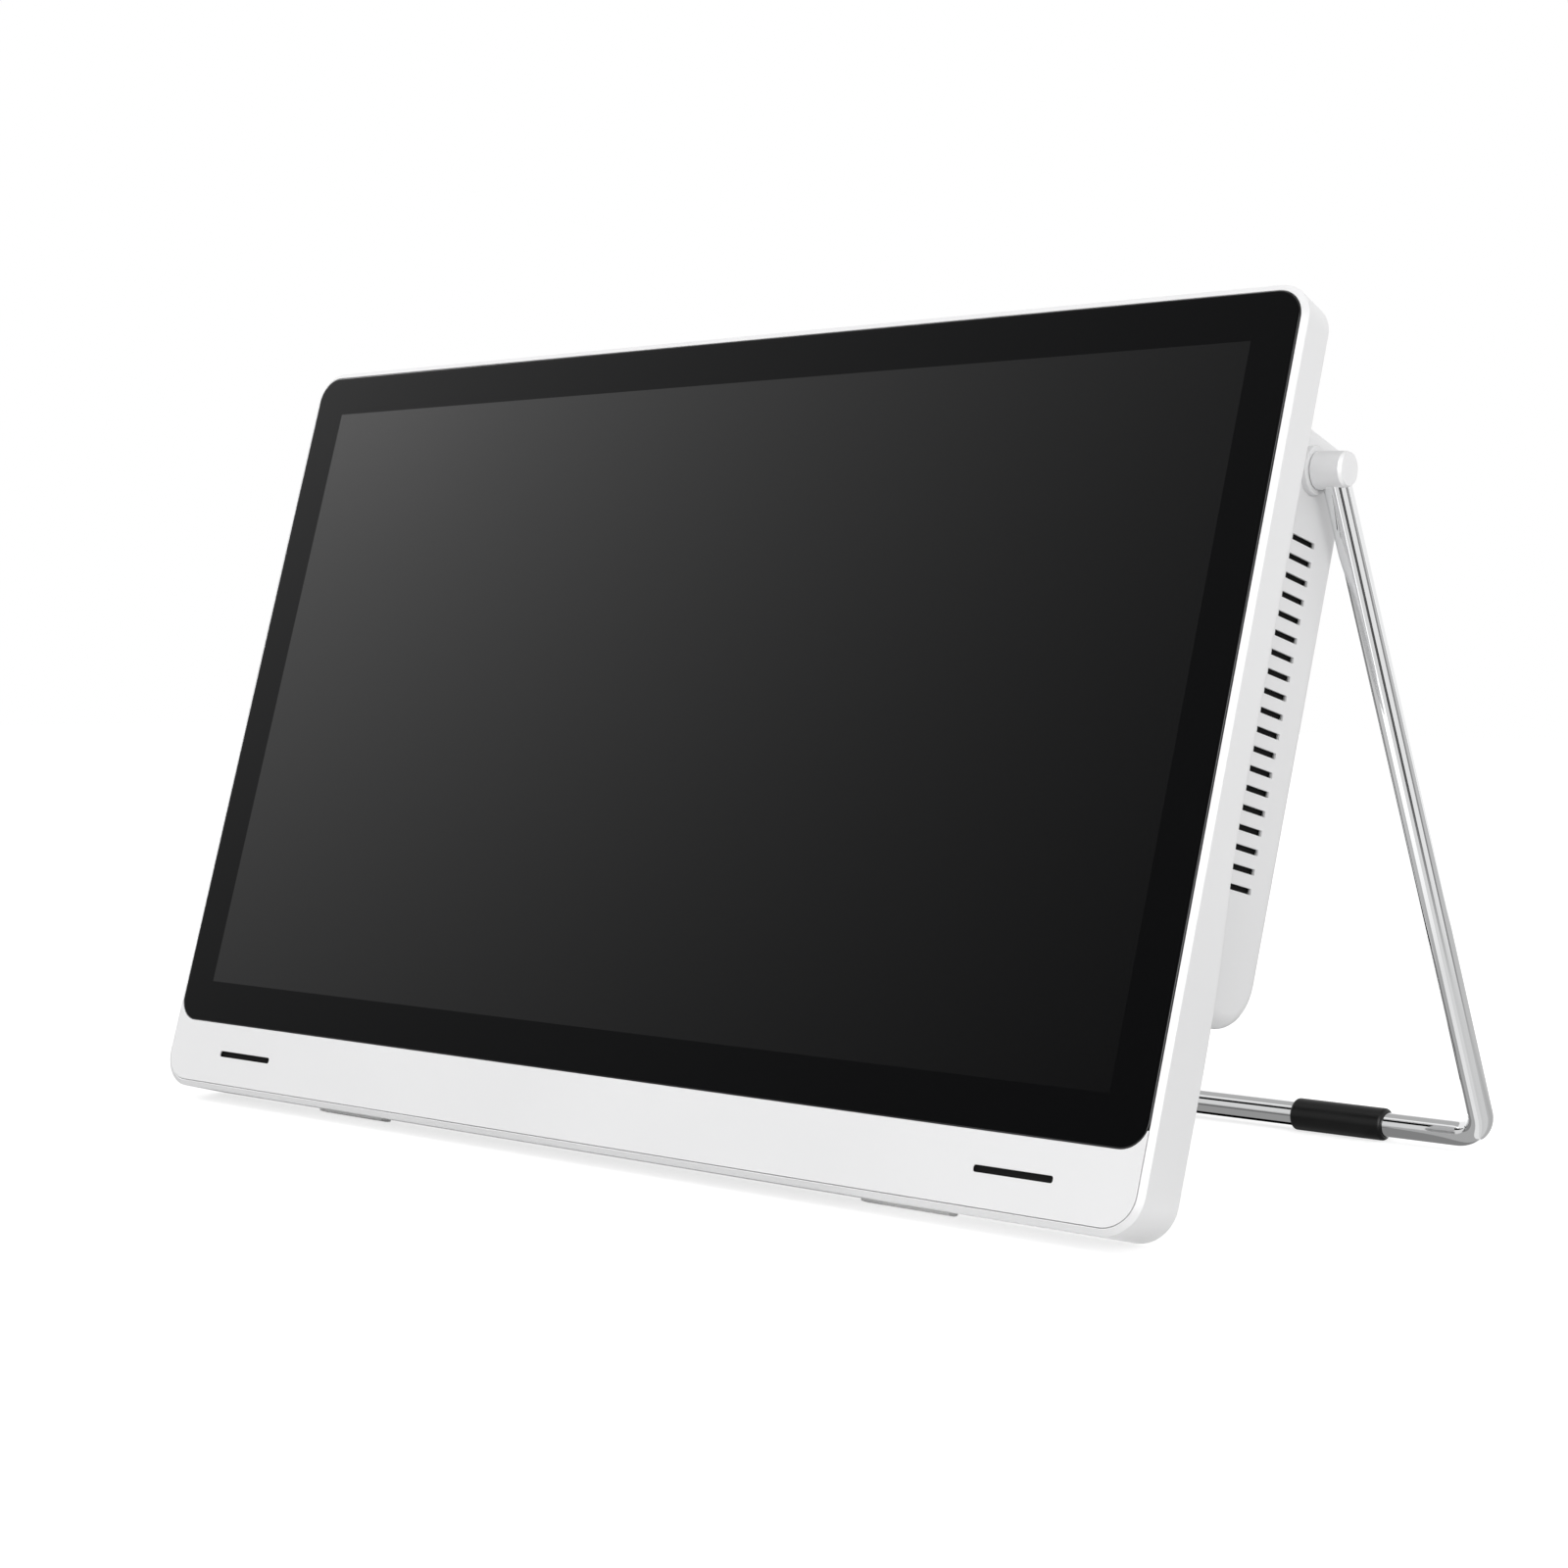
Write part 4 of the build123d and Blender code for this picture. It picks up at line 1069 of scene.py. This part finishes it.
def housing_skin(bm, inner, foot_path):
    """The housing's back, top and bottom in one sweep along x, and its two flat sides."""
    side_r = housing_side_r - inner
    root = housing_root_r + inner
    middle = housing_half_w - housing_side_r
    stations = []
    for i in range(corner_steps + 1):
        a = math.pi / 2 * (1 - i / corner_steps)
        stations.append((-middle - side_r * math.sin(a), side_r * (1 - math.cos(a))))
    stations += [(-middle + 2 * middle * k / side_steps, 0) for k in range(1, side_steps)]
    stations += [(-x, d) for x, d in reversed(stations[:corner_steps + 1])]
    columns = []
    for x, d in stations:
        low = housing_low + inner + d
        high = housing_high - inner - d
        back = -housing_depth + inner + d
        low_r = housing_low_r - inner - d
        high_r = housing_high_r - inner - d
        start = back_at(low) + inner - root
        end = back_at(high) + inner - root
        flat = high - low - low_r - high_r
        bend = [math.radians(90 * k / bend_steps) for k in range(bend_steps + 1)]
        line = [(low, start + (back + low_r - start) * k / wall_steps) for k in range(wall_steps)]
        line += [(low + low_r * (1 - math.cos(a)), back + low_r * (1 - math.sin(a))) for a in bend]
        line += [(low + low_r + flat * k / back_steps, back) for k in range(1, back_steps)]
        line += [(high - high_r * (1 - math.sin(a)), back + high_r * (1 - math.cos(a))) for a in bend]
        rise = end - back - high_r
        line += [(high, back + high_r + rise * k / wall_steps) for k in range(1, wall_steps + 1)]
        columns.append([(x, y, z) for y, z in line])
    made = loft(bm, columns, joined=False, round_about=False)
    per_side = corner_steps + side_steps
    right = foot_path[per_side + corner_steps:2 * per_side + 1]
    left = foot_path[3 * per_side + corner_steps:] + foot_path[:1]
    for column, edge in ((made[-1], right), (made[0], left[::-1])):
        front = [bm.verts.new((q.x, q.y, back_at(q.y) + inner - root)) for q, u in edge[1:-1]]
        bm.faces.new(column + front[::-1])


def circle(x, y, r, steps):
    """Points round a centre."""
    angles = [2 * math.pi * i / steps for i in range(steps)]
    return [(x + r * math.cos(a), y + r * math.sin(a)) for a in angles]


def round_cutter(x, y, r, z0, z1):
    """A round tool along z."""
    return solid_tool([[(a, b, z) for a, b in circle(x, y, r, hole_steps)] for z in (z0, z1)])


def axle_cutter(x0, x1, r):
    """A round tool along x through the pivot."""
    ring = circle(pivot_y, -pivot_depth, r, axle_steps)
    return solid_tool([[(x, a, b) for a, b in ring] for x in (x0, x1)])


def vent_tree(finish):
    """A row of slots cut through the side walls: copies of one tool along a line, then cut away."""
    tree, into, out = new_tree(
        "vent slots", "GeometryNodeTree",
        {
            "Geometry": "Geometry", "Slots": "Int", "First slot": "Vector", "Step": "Vector",
            "Slot size": "Vector", "Lean": "Float",
        },
        {"Geometry": "Geometry"},
    )
    line = node_of(
        tree, "GeometryNodeMeshLine", Count=into["Slots"], Start_Location=into["First slot"],
        Offset=into["Step"],
    )
    tool = node_of(tree, "GeometryNodeMeshCube", Size=into["Slot size"])
    angles = node_of(tree, "ShaderNodeCombineXYZ", X=into["Lean"])
    copies = node_of(
        tree, "GeometryNodeInstanceOnPoints", Points=line.outputs["Mesh"],
        Instance=tool.outputs["Mesh"], Rotation=angles.outputs["Vector"],
    )
    real = node_of(tree, "GeometryNodeRealizeInstances", Geometry=copies.outputs["Instances"])
    cut = node_of(
        tree, "GeometryNodeMeshBoolean", operation="DIFFERENCE", solver="EXACT",
        Mesh_1=into["Geometry"], Mesh_2=real.outputs["Geometry"],
    )
    end_tree(tree, out, cut.outputs["Mesh"], finish)
    return tree


def rear_moulding(finish):
    bm = bmesh.new()
    outside = cover_skin(bm, 0)
    inside = cover_skin(bm, cover_wall)
    for i in range(len(outside)):
        j = (i + 1) % len(outside)
        bm.faces.new((outside[i], outside[j], inside[j], inside[i]))
    made = into_object("rear_cover_moulding", bm)
    screws = [(x, y) for x in (-cover_screw_x, 0, cover_screw_x) for y in cover_screw_ys]
    combine(made, [
        round_cutter(x, y, cover_post_r, back_at(y) + cover_wall / 2, plate_back) for x, y in screws
    ], "UNION")
    cutters = []
    for x, y in screws:
        cutters.append(round_cutter(x, y, cover_well_r, -housing_depth, -cover_seat_depth))
        cutters.append(round_cutter(x, y, cover_hole_r, -housing_depth, 0))
    for x in (-mount_pitch / 2, mount_pitch / 2):
        for y in (mount_y - mount_pitch / 2, mount_y + mount_pitch / 2):
            z0, z1 = -housing_depth - tool_past, -housing_depth + mount_hole_in
            cutters.append(round_cutter(x, y, mount_post_r + mount_gap, z0, z1))
    along, rim = vent_l / 2 + vent_pocket, vent_h / 2 + vent_pocket
    vent_low = vent_high - (vent_count - 1) * vent_pitch
    for side in (-1, 1):
        x_in, x_out = side * (housing_half_w - tool_past), side * (housing_half_w + tool_past)
        cutters.append(axle_cutter(x_in, x_out, bush_r + bush_gap))
        x0, x1 = sorted((x_in, side * (housing_half_w - vent_wall)))
        cutters.append(box_cutter(
            (x0, vent_low - rim, -vent_depth - along), (x1, vent_high + rim, -vent_depth + along)
        ))
    low, high = solids_of("socket_plate")[0]
    room = Vector((plate_gap, plate_gap + tool_past, plate_gap))
    cutters.append(box_cutter(low - room, high + room))
    combine(made, cutters)
    made.modifiers.clear()
    run_tree(
        made, vent_tree(finish), Slots=vent_count, First_slot=lean @ Vector((0, vent_low, -vent_depth)),
        Step=lean.to_3x3() @ Vector((0, vent_pitch, 0)),
        Slot_size=Vector((2 * (housing_half_w + tool_past), vent_h, vent_l)) * mm,
        Lean=math.pi / 2 - tilt + math.radians(vent_turn_deg),
    )
    return made


# Same white plastic as the frame, made darker: painted shade.
rear_shaded_shell = white_moulding("rear white moulding", rear_painted_shade_tones)
rear_cover = rear_moulding(rear_shaded_shell)
seat(rear_cover, "display", "white_shell", rear_shaded_shell, "rear_cover")


# Dust screens. A strip of black woven cloth is stretched behind each column of vents and glued
# round its edge, so that the slots look black.
screen_threads = 1.1
screen_edge_r = 0.15
dust_cloth = woven("dust cloth", cloth_tones, screen_threads)
for side in ("right", "left"):
    node = f"vent_screen_{side}"
    low, high = solids_of(node)[0]
    screen = round_off(
        node, f"{node}_cloth", "display", "vent_cloth", dust_cloth, screen_edge_r, 2
    )


# Cover screws. Six blackened screws sit deep in the wells of the rear cover and pull it onto the
# mid plate.
drive_screws("cover_screws", "cover_pan_screws")


# Feet. Two strips of soft pale silicone are let into the frame's lower edge and cut flat where
# they stand, so that the monitor neither slides nor marks the table.
foot_edge_r = 0.5
silicone_tones = ((0.74, 0.74, 0.735), (0.79, 0.79, 0.785))
silicone = plain_finish(
    "pale silicone", silicone_tones, rough=(0.5, 0.62), fineness=1400.0, depth=0.00003,
)
for side in ("right", "left"):
    foot = f"foot_{side}"
    round_off(foot, f"{foot}_strip", "display", "pale_silicone", silicone, foot_edge_r, 4)


# Stand. A steel rod bent into a wide U and plated with bright chrome. Its ends stand in the
# knuckles, and the crossbar lies on the table.
stand_joint = next(j for j in frame["joints"] if j["name"] == "stand_fold")
pivot = Vector(stand_joint["pos_m"])
bar_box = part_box("stand_bar")
sleeve_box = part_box("sleeve_right")
bar_r = 5.1 * mm
bend_r = 12.0 * mm
leg_x = bar_box[1].x - bar_r
crossbar = Vector((0, (sleeve_box[0].y + sleeve_box[1].y) / 2, (sleeve_box[0].z + sleeve_box[1].z) / 2))
leg_dir = (crossbar - pivot).normalized()
bar_steps = 56
leg_parts = 24
chrome_tones = ((0.80, 0.805, 0.81), (0.84, 0.845, 0.85))
rod_from_pivot = 2.5 * mm


def bar_line():
    """The rod's centre line: down one leg, round two bends and up the other leg."""
    top = pivot + leg_dir * rod_from_pivot
    right = Vector((1, 0, 0))
    bend_start = crossbar - leg_dir * bend_r
    angles = [math.pi / 2 * i / (2 * corner_steps) for i in range(2 * corner_steps + 1)]
    bend = [(bend_r * math.cos(a), bend_r * math.sin(a)) for a in angles]
    flat = leg_x - bend_r
    line = [top.lerp(bend_start, i / leg_parts) - right * leg_x for i in range(leg_parts)]
    line += [bend_start - right * (flat + c) + leg_dir * s for c, s in bend]
    line += [crossbar + right * (-1 + 2 * i / leg_parts) * flat for i in range(1, leg_parts)]
    line += [bend_start + right * (flat + s) + leg_dir * c for c, s in bend]
    line += [bend_start.lerp(top, i / leg_parts) + right * leg_x for i in range(1, leg_parts + 1)]
    return line


def rod(name, line, r, across):
    """A round rod along a flat line; across is the direction square to the line's plane."""
    bm = bmesh.new()
    rings = []
    for i, p in enumerate(line):
        along = (line[min(i + 1, len(line) - 1)] - line[max(i - 1, 0)]).normalized()
        side = along.cross(across).normalized()
        rings.append([(p + side * a + across * b) / mm for a, b in circle(0, 0, r, bar_steps)])
    capped(bm, rings)
    return into_object(name, bm, to_metres)


chrome = plain_finish(
    "bright chrome", chrome_tones, rough=(0.045, 0.075),
    fineness=500.0, depth=0.000004, patch=30.0, Metallic=1.0,
)
stand_bar = rod("stand_bar_rod", bar_line(), bar_r, leg_dir.cross(Vector((1, 0, 0))).normalized())
seat(stand_bar, "stand", "bar_chrome", chrome, "stand_bar")


# Rubber sleeves. Each is a moulded tube pushed over the crossbar, with rounded ends, and keeps
# the stand from sliding or marking the table.
sleeve_r = 6.8
sleeve_edge_rs = (1.6, 1.6, 0.3)
rubber_tones = ((0.0035, 0.0035, 0.0035), (0.005, 0.005, 0.005))
rubber = plain_finish(
    "black rubber", rubber_tones, rough=(0.34, 0.42),
    fineness=2200.0, depth=0.00003, patch=60.0, Specular_IOR_Level=0.3,
)
for side, name in ((1, "right"), (-1, "left")):
    low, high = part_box("sleeve_" + name)
    half_l = (high.x - low.x) / 2 / mm
    middle = (low + high) / 2
    bore = bar_r / mm
    profile = softened(
        [(-half_l, bore), (-half_l, sleeve_r), (half_l, sleeve_r), (half_l, bore), (-half_l, bore)],
        sleeve_edge_rs, steps=8,
    )[:-1]
    sleeve = lathe(f"sleeve_{name}_rubber", profile, middle)
    seat(sleeve, "stand", "sleeve_rubber", rubber, "sleeve_" + name)


# Knuckles and bushes. A tapered, turned metal cap takes each end of the rod, and its hub runs in a
# pale plastic bush whose thick flange stands on the housing's wall as a ring.
knuckle_r = 7.0
knuckle_tip_r = 6.5
knuckle_face_r = 6.0
knuckle_bevel_l = 1.4
knuckle_over = 6.3
knuckle_gap = 0.3
cap_edge_rs = (0, 0, 0.3, 0.1, 0.3, 0.12, 0.15)
hub_r = 5.5
hub_l = 10.0
shaft_r = 3.0
shaft_in_hub = 8.0
run_fit = 0.05
socket_floor = 2.5
socket_gap = 0.14
bush_flange_r = 8.9
bush_flange_t = 2.3
bush_edge_rs = (0.6, 0.08, 0, 0.3, 0.1)
bush_l = 4.0
turned_steps = 96
satin_tones = ((0.80, 0.80, 0.805), (0.84, 0.84, 0.845))
# Near-white colour for the knuckle's bevel: a painted highlight.
bevel_painted_highlight = (0.97, 0.97, 0.97)
knuckle_edge = 0.08
acetal_tones = ((0.72, 0.72, 0.725), (0.76, 0.76, 0.765))


def turned_cap(name, side):
    """A knuckle: hub, tapered barrel, bevel and face in one turning, with the rod's socket cut."""
    inner_x = housing_half_w + bush_flange_t + knuckle_gap
    end = leg_x / mm + knuckle_over - inner_x
    profile = softened(
        [
            (shaft_in_hub - hub_l, axis_r), (shaft_in_hub - hub_l, shaft_r), (-hub_l, shaft_r),
            (-hub_l, hub_r), (0, hub_r), (0, knuckle_r), (end - knuckle_bevel_l, knuckle_tip_r),
            (end, knuckle_face_r), (end, axis_r),
        ],
        cap_edge_rs, steps=4,
    )
    base = Vector((side * inner_x * mm, pivot.y, pivot.z))
    cap = lathe(name, profile, base, Vector((side, 0, 0)), turned_steps)
    on_leg = pivot + Vector((side * leg_x, 0, 0))
    line = [on_leg + leg_dir * socket_floor * mm, on_leg + leg_dir * 2 * knuckle_r * mm]
    combine(cap, [rod("tool", line, bar_r + socket_gap * mm, Vector((1, 0, 0)))])
    return cap


def flanged_bush(name, side):
    bore = hub_r + run_fit
    profile = softened(
        [
            (bush_flange_t, bore), (bush_flange_t, bush_flange_r), (0, bush_flange_r), (0, bush_r),
            (-bush_l, bush_r), (-bush_l, bore), (bush_flange_t, bore),
        ],
        bush_edge_rs, steps=5,
    )[:-1]
    base = Vector((side * housing_half_w * mm, pivot.y, pivot.z))
    return lathe(name, profile, base, Vector((side, 0, 0)), turned_steps)


def satin_metal():
    """Satin turned metal, whose bevel is given a near-white colour: a painted highlight."""
    material = plain_finish(
        "satin metal", satin_tones, rough=(0.30, 0.38),
        fineness=1400.0, depth=0.00001, Metallic=0.35,
    )
    tree = material.node_tree
    shader = tree.nodes["Principled BSDF"]
    tone = shader.inputs["Base Color"].links[0].from_socket
    place = tree.nodes.new("ShaderNodeTexCoord").outputs["Object"]
    apart = node_of(tree, "ShaderNodeSeparateXYZ", Vector=place)
    away = maths(tree, "ABSOLUTE", apart.outputs["X"])
    tip = leg_x + knuckle_over * mm
    past = maths(tree, "GREATER_THAN", away, tip - (knuckle_bevel_l - knuckle_edge) * mm)
    before = maths(tree, "LESS_THAN", away, tip - knuckle_edge * mm)
    bevel = maths(tree, "MULTIPLY", past, before)
    # The band on the bevel is painted near-white: a painted highlight.
    wire(tree, shader, Base_Color=two_tones(tree, bevel, tone, bevel_painted_highlight))
    return material


satin = satin_metal()
acetal = plain_finish("pale acetal", acetal_tones, rough=(0.38, 0.5))
for side, name in ((1, "right"), (-1, "left")):
    seat(turned_cap(f"knuckle_{name}_cap", side), "stand", "knuckle_metal", satin, f"knuckle_{name}")
    bush = f"pivot_bush_{name}"
    seat(flanged_bush(f"{bush}_ring", side), "display", "bush_plastic", acetal, bush)


# Studio. A plain pale floor, soft lamps and the camera where the photograph was taken. Cards that
# only mirrors see give the glass its glow at the upper left, and the chromed bar its streaks.
pure_white = (1, 1, 1, 1)
pure_black = (0, 0, 0, 1)
floor_half = 6.0
floor_grey = (0.5, 0.5, 0.5, 1)
floor_lift = 0.7
world_soft = 0.88
display_middle = (0, -0.05, 0.15)
glow_at = (-3.4, -1.9, 2.3)
glow_reach = 3.6
glow_bright = 0.66
glow_dark = 0.004
streak_z = 0.0004
streak_reach = 3.0
streak_step = 12
foot_reach = 0.20
foot_even = 0.09
strip_span = (-0.2, 0.2)
strip_z = 0.0008
roof_z = 1.5


def seen_directly(tree):
    """One where a camera, a mirror or a lens looks, and nothing for the rest."""
    rays = tree.nodes.new("ShaderNodeLightPath").outputs
    polished = maths(tree, "MAXIMUM", rays["Is Glossy Ray"], rays["Is Transmission Ray"])
    return maths(tree, "MAXIMUM", rays["Is Camera Ray"], polished)


def studio_floor():
    """A wide pale floor that keeps the shadow and shows white round it."""
    bm = bmesh.new()
    bmesh.ops.create_grid(bm, x_segments=1, y_segments=1, size=floor_half)
    made = bare_object(bm, Matrix.Identity(4))
    made.name = "studio_floor"
    material, tree, shader = new_material(
        "studio floor", Roughness=0.9, Specular_IOR_Level=0.0, Base_Color=floor_grey,
        Emission_Color=pure_white,
    )
    wire(tree, shader, Emission_Strength=maths(tree, "MULTIPLY", seen_directly(tree), floor_lift))
    made.data.materials.append(material)


def white_world():
    """White behind everything that the camera, metal and glass see; a softer light elsewhere."""
    world = bpy.data.worlds.new("studio")
    bpy.context.scene.world = world
    world.use_nodes = True
    tree = world.node_tree
    soft = tree.nodes["Background"]
    wire(tree, soft, Color=pure_white, Strength=world_soft)
    white = node_of(tree, "ShaderNodeBackground", Color=pure_white, Strength=1.0)
    mix = tree.nodes.new("ShaderNodeMixShader")
    for socket, value in zip(mix.inputs, (seen_directly(tree), soft.outputs[0], white.outputs[0])):
        feed(tree, socket, value)
    wire(tree, tree.nodes["World Output"], Surface=mix.outputs["Shader"])


def lamp(name, at, aim, size, watts):
    """A soft square lamp that looks at a point."""
    data = bpy.data.lights.new(name, "AREA")
    data.size = size
    data.energy = watts
    made = bpy.data.objects.new(name, data)
    bpy.context.scene.collection.objects.link(made)
    made.location = at
    made.rotation_mode = "QUATERNION"
    made.rotation_quaternion = (Vector(aim) - Vector(at)).to_track_quat("-Z", "Y")


def mirror_card(name, corners, level):
    """An even card that shows in polished surfaces alone: no camera or matt surface sees it."""
    bm = bmesh.new()
    bm.faces.new([bm.verts.new(corner) for corner in corners])
    made = bare_object(bm, Matrix.Identity(4))
    made.name = name
    material, tree, shader = new_material(
        name, Roughness=1.0, Specular_IOR_Level=0.0, Base_Color=pure_black,
        Emission_Color=pure_white, Emission_Strength=level,
    )
    made.data.materials.append(material)
    made.visible_camera = False
    made.visible_diffuse = False
    made.visible_shadow = False
    return tree, shader


def wide_card(name, x_span, first, last, level):
    """An even card between two (y, z) places, as wide as x_span."""
    x0, x1 = x_span
    return mirror_card(name, [(x0, *first), (x1, *first), (x1, *last), (x0, *last)], level)


def glow(tree, shader, kind, centre, reach, full, far_level, near_level):
    """Sets a card's level: far_level from reach on, and near_level within the full share of it."""
    place = tree.nodes.new("ShaderNodeTexCoord").outputs["Object"]
    centred = node_of(
        tree, "ShaderNodeMapping", vector_type="POINT", Vector=place, Scale=[1 / reach] * 3,
        Location=-Vector(centre) / reach,
    )
    fall = node_of(
        tree, "ShaderNodeTexGradient", gradient_type=kind, Vector=centred.outputs["Vector"]
    )
    level = node_of(
        tree, "ShaderNodeMapRange", Value=fall.outputs["Fac"],
        From_Max=full, To_Min=far_level, To_Max=near_level,
    )
    wire(tree, shader, Emission_Strength=level.outputs["Result"])


def streak_card(name, first_deg, last_deg, level, foot_level):
    """A sector of the floor round the right leg's foot, which the leg mirrors as a long streak."""
    foot = Vector((leg_x, crossbar.y, streak_z))
    steps = math.ceil((last_deg - first_deg) / streak_step)
    sweep = [math.radians(first_deg + (last_deg - first_deg) * i / steps) for i in range(steps + 1)]
    rim = [foot + Vector((math.cos(a), math.sin(a), 0)) * streak_reach for a in sweep]
    tree, shader = mirror_card(name, [foot] + rim, level)
    even = 1 - foot_even / foot_reach
    glow(tree, shader, "SPHERICAL", foot, foot_reach, even, level, foot_level)


studio_floor()
white_world()
lamp("key light", at=(-3.9, -1.7, 2.9), aim=display_middle, size=1.3, watts=52)
lamp("front light", at=(1.5, -2.8, 0.5), aim=display_middle, size=1.4, watts=19)
lamp("side light", at=(2.6, -1.2, 0.7), aim=(0.1, 0, 0.15), size=1.4, watts=14)

# The glow on the glass.
card_tree, card_shader = wide_card(
    "front card", x_span=(-5.2, 1.6), first=(glow_at[1], 0.0), last=(glow_at[1], 3.4), level=glow_dark
)
glow(card_tree, card_shader, "QUADRATIC_SPHERE", glow_at, glow_reach, 1.0, glow_dark, glow_bright)

# The leg's streaks from its left edge to its right: the sector's two angles, its level far from the foot and its
# level at the foot. The grey streak is painted shade: it stands for the shaded floor beneath the display, as the
# leg mirrors it.
for name, first_deg, last_deg, level, foot_level in (
    ("left edge", -180, -152, 0.24, 0.26), ("grey streak", -152, -114, 0.64, 0.44),
    ("white streak", -114, -82, 1.4, 0.90), ("pale streak", -82, -57, 0.80, 0.78),
    ("dark line", -57, -37, 0.10, 0.68), ("light streak", -37, 4, 0.92, 0.70),
    ("second dark line", 4, 21, 0.30, 0.55), ("right streak", 21, 100, 0.60, 0.50),
):
    streak_card(name, first_deg, last_deg, level, foot_level)

# The crossbar's bands from its lower side up: a strip's two (y, z) places, and its level. The strips under and
# before the bar are painted shadow: they stand for the floor's shade beneath the bar, as the bar mirrors it.
for name, first, last, level in (
    ("under the bar", (0.1282, strip_z), (0.1400, strip_z), 0.0),
    ("before the bar", (0.1120, strip_z), (0.1282, strip_z), 0.34),
    ("thin line", (0.1000, strip_z), (0.1120, strip_z), 0.15),
    ("light strip", (0.0673, 0.0080), (0.0800, 0.0480), 0.76),
    ("dark strip", (0.0800, 0.0480), (0.0935, 0.0640), 0.0),
):
    wide_card(name, strip_span, first, last, level)

# Even cards over the monitor and beside its front.
wide_card("roof grey", x_span=(-1.5, 1.5), first=(-0.08, roof_z), last=(2.4, roof_z), level=0.5)
wide_card("bright card", x_span=(0.64, 1.9), first=(-1.5, 0.1), last=(-1.5, 1.9), level=5.0)

camera_data = bpy.data.cameras.new("camera")
camera_data.sensor_width = 36.0
camera_data.lens = 63.64
camera_data.shift_x = 0.0415
camera_data.shift_y = 0.1188
camera_data.clip_start = 0.05
camera_data.clip_end = 50.0
camera = bpy.data.objects.new("camera", camera_data)
bpy.context.scene.collection.objects.link(camera)
camera_at = Vector((0.74638, -0.90858, 0.19726))
camera_right = Vector((0.7534, 0.6575, 0.0050))
camera_up = Vector((-0.0768, 0.0805, 0.9938))
camera_back = camera_right.cross(camera_up).normalized()
camera.matrix_world = Matrix.Translation(camera_at) @ Matrix((
    camera_right, camera_up, camera_back
)).transposed().to_4x4()
bpy.context.scene.camera = camera
bpy.context.scene.view_settings.view_transform = "Standard"
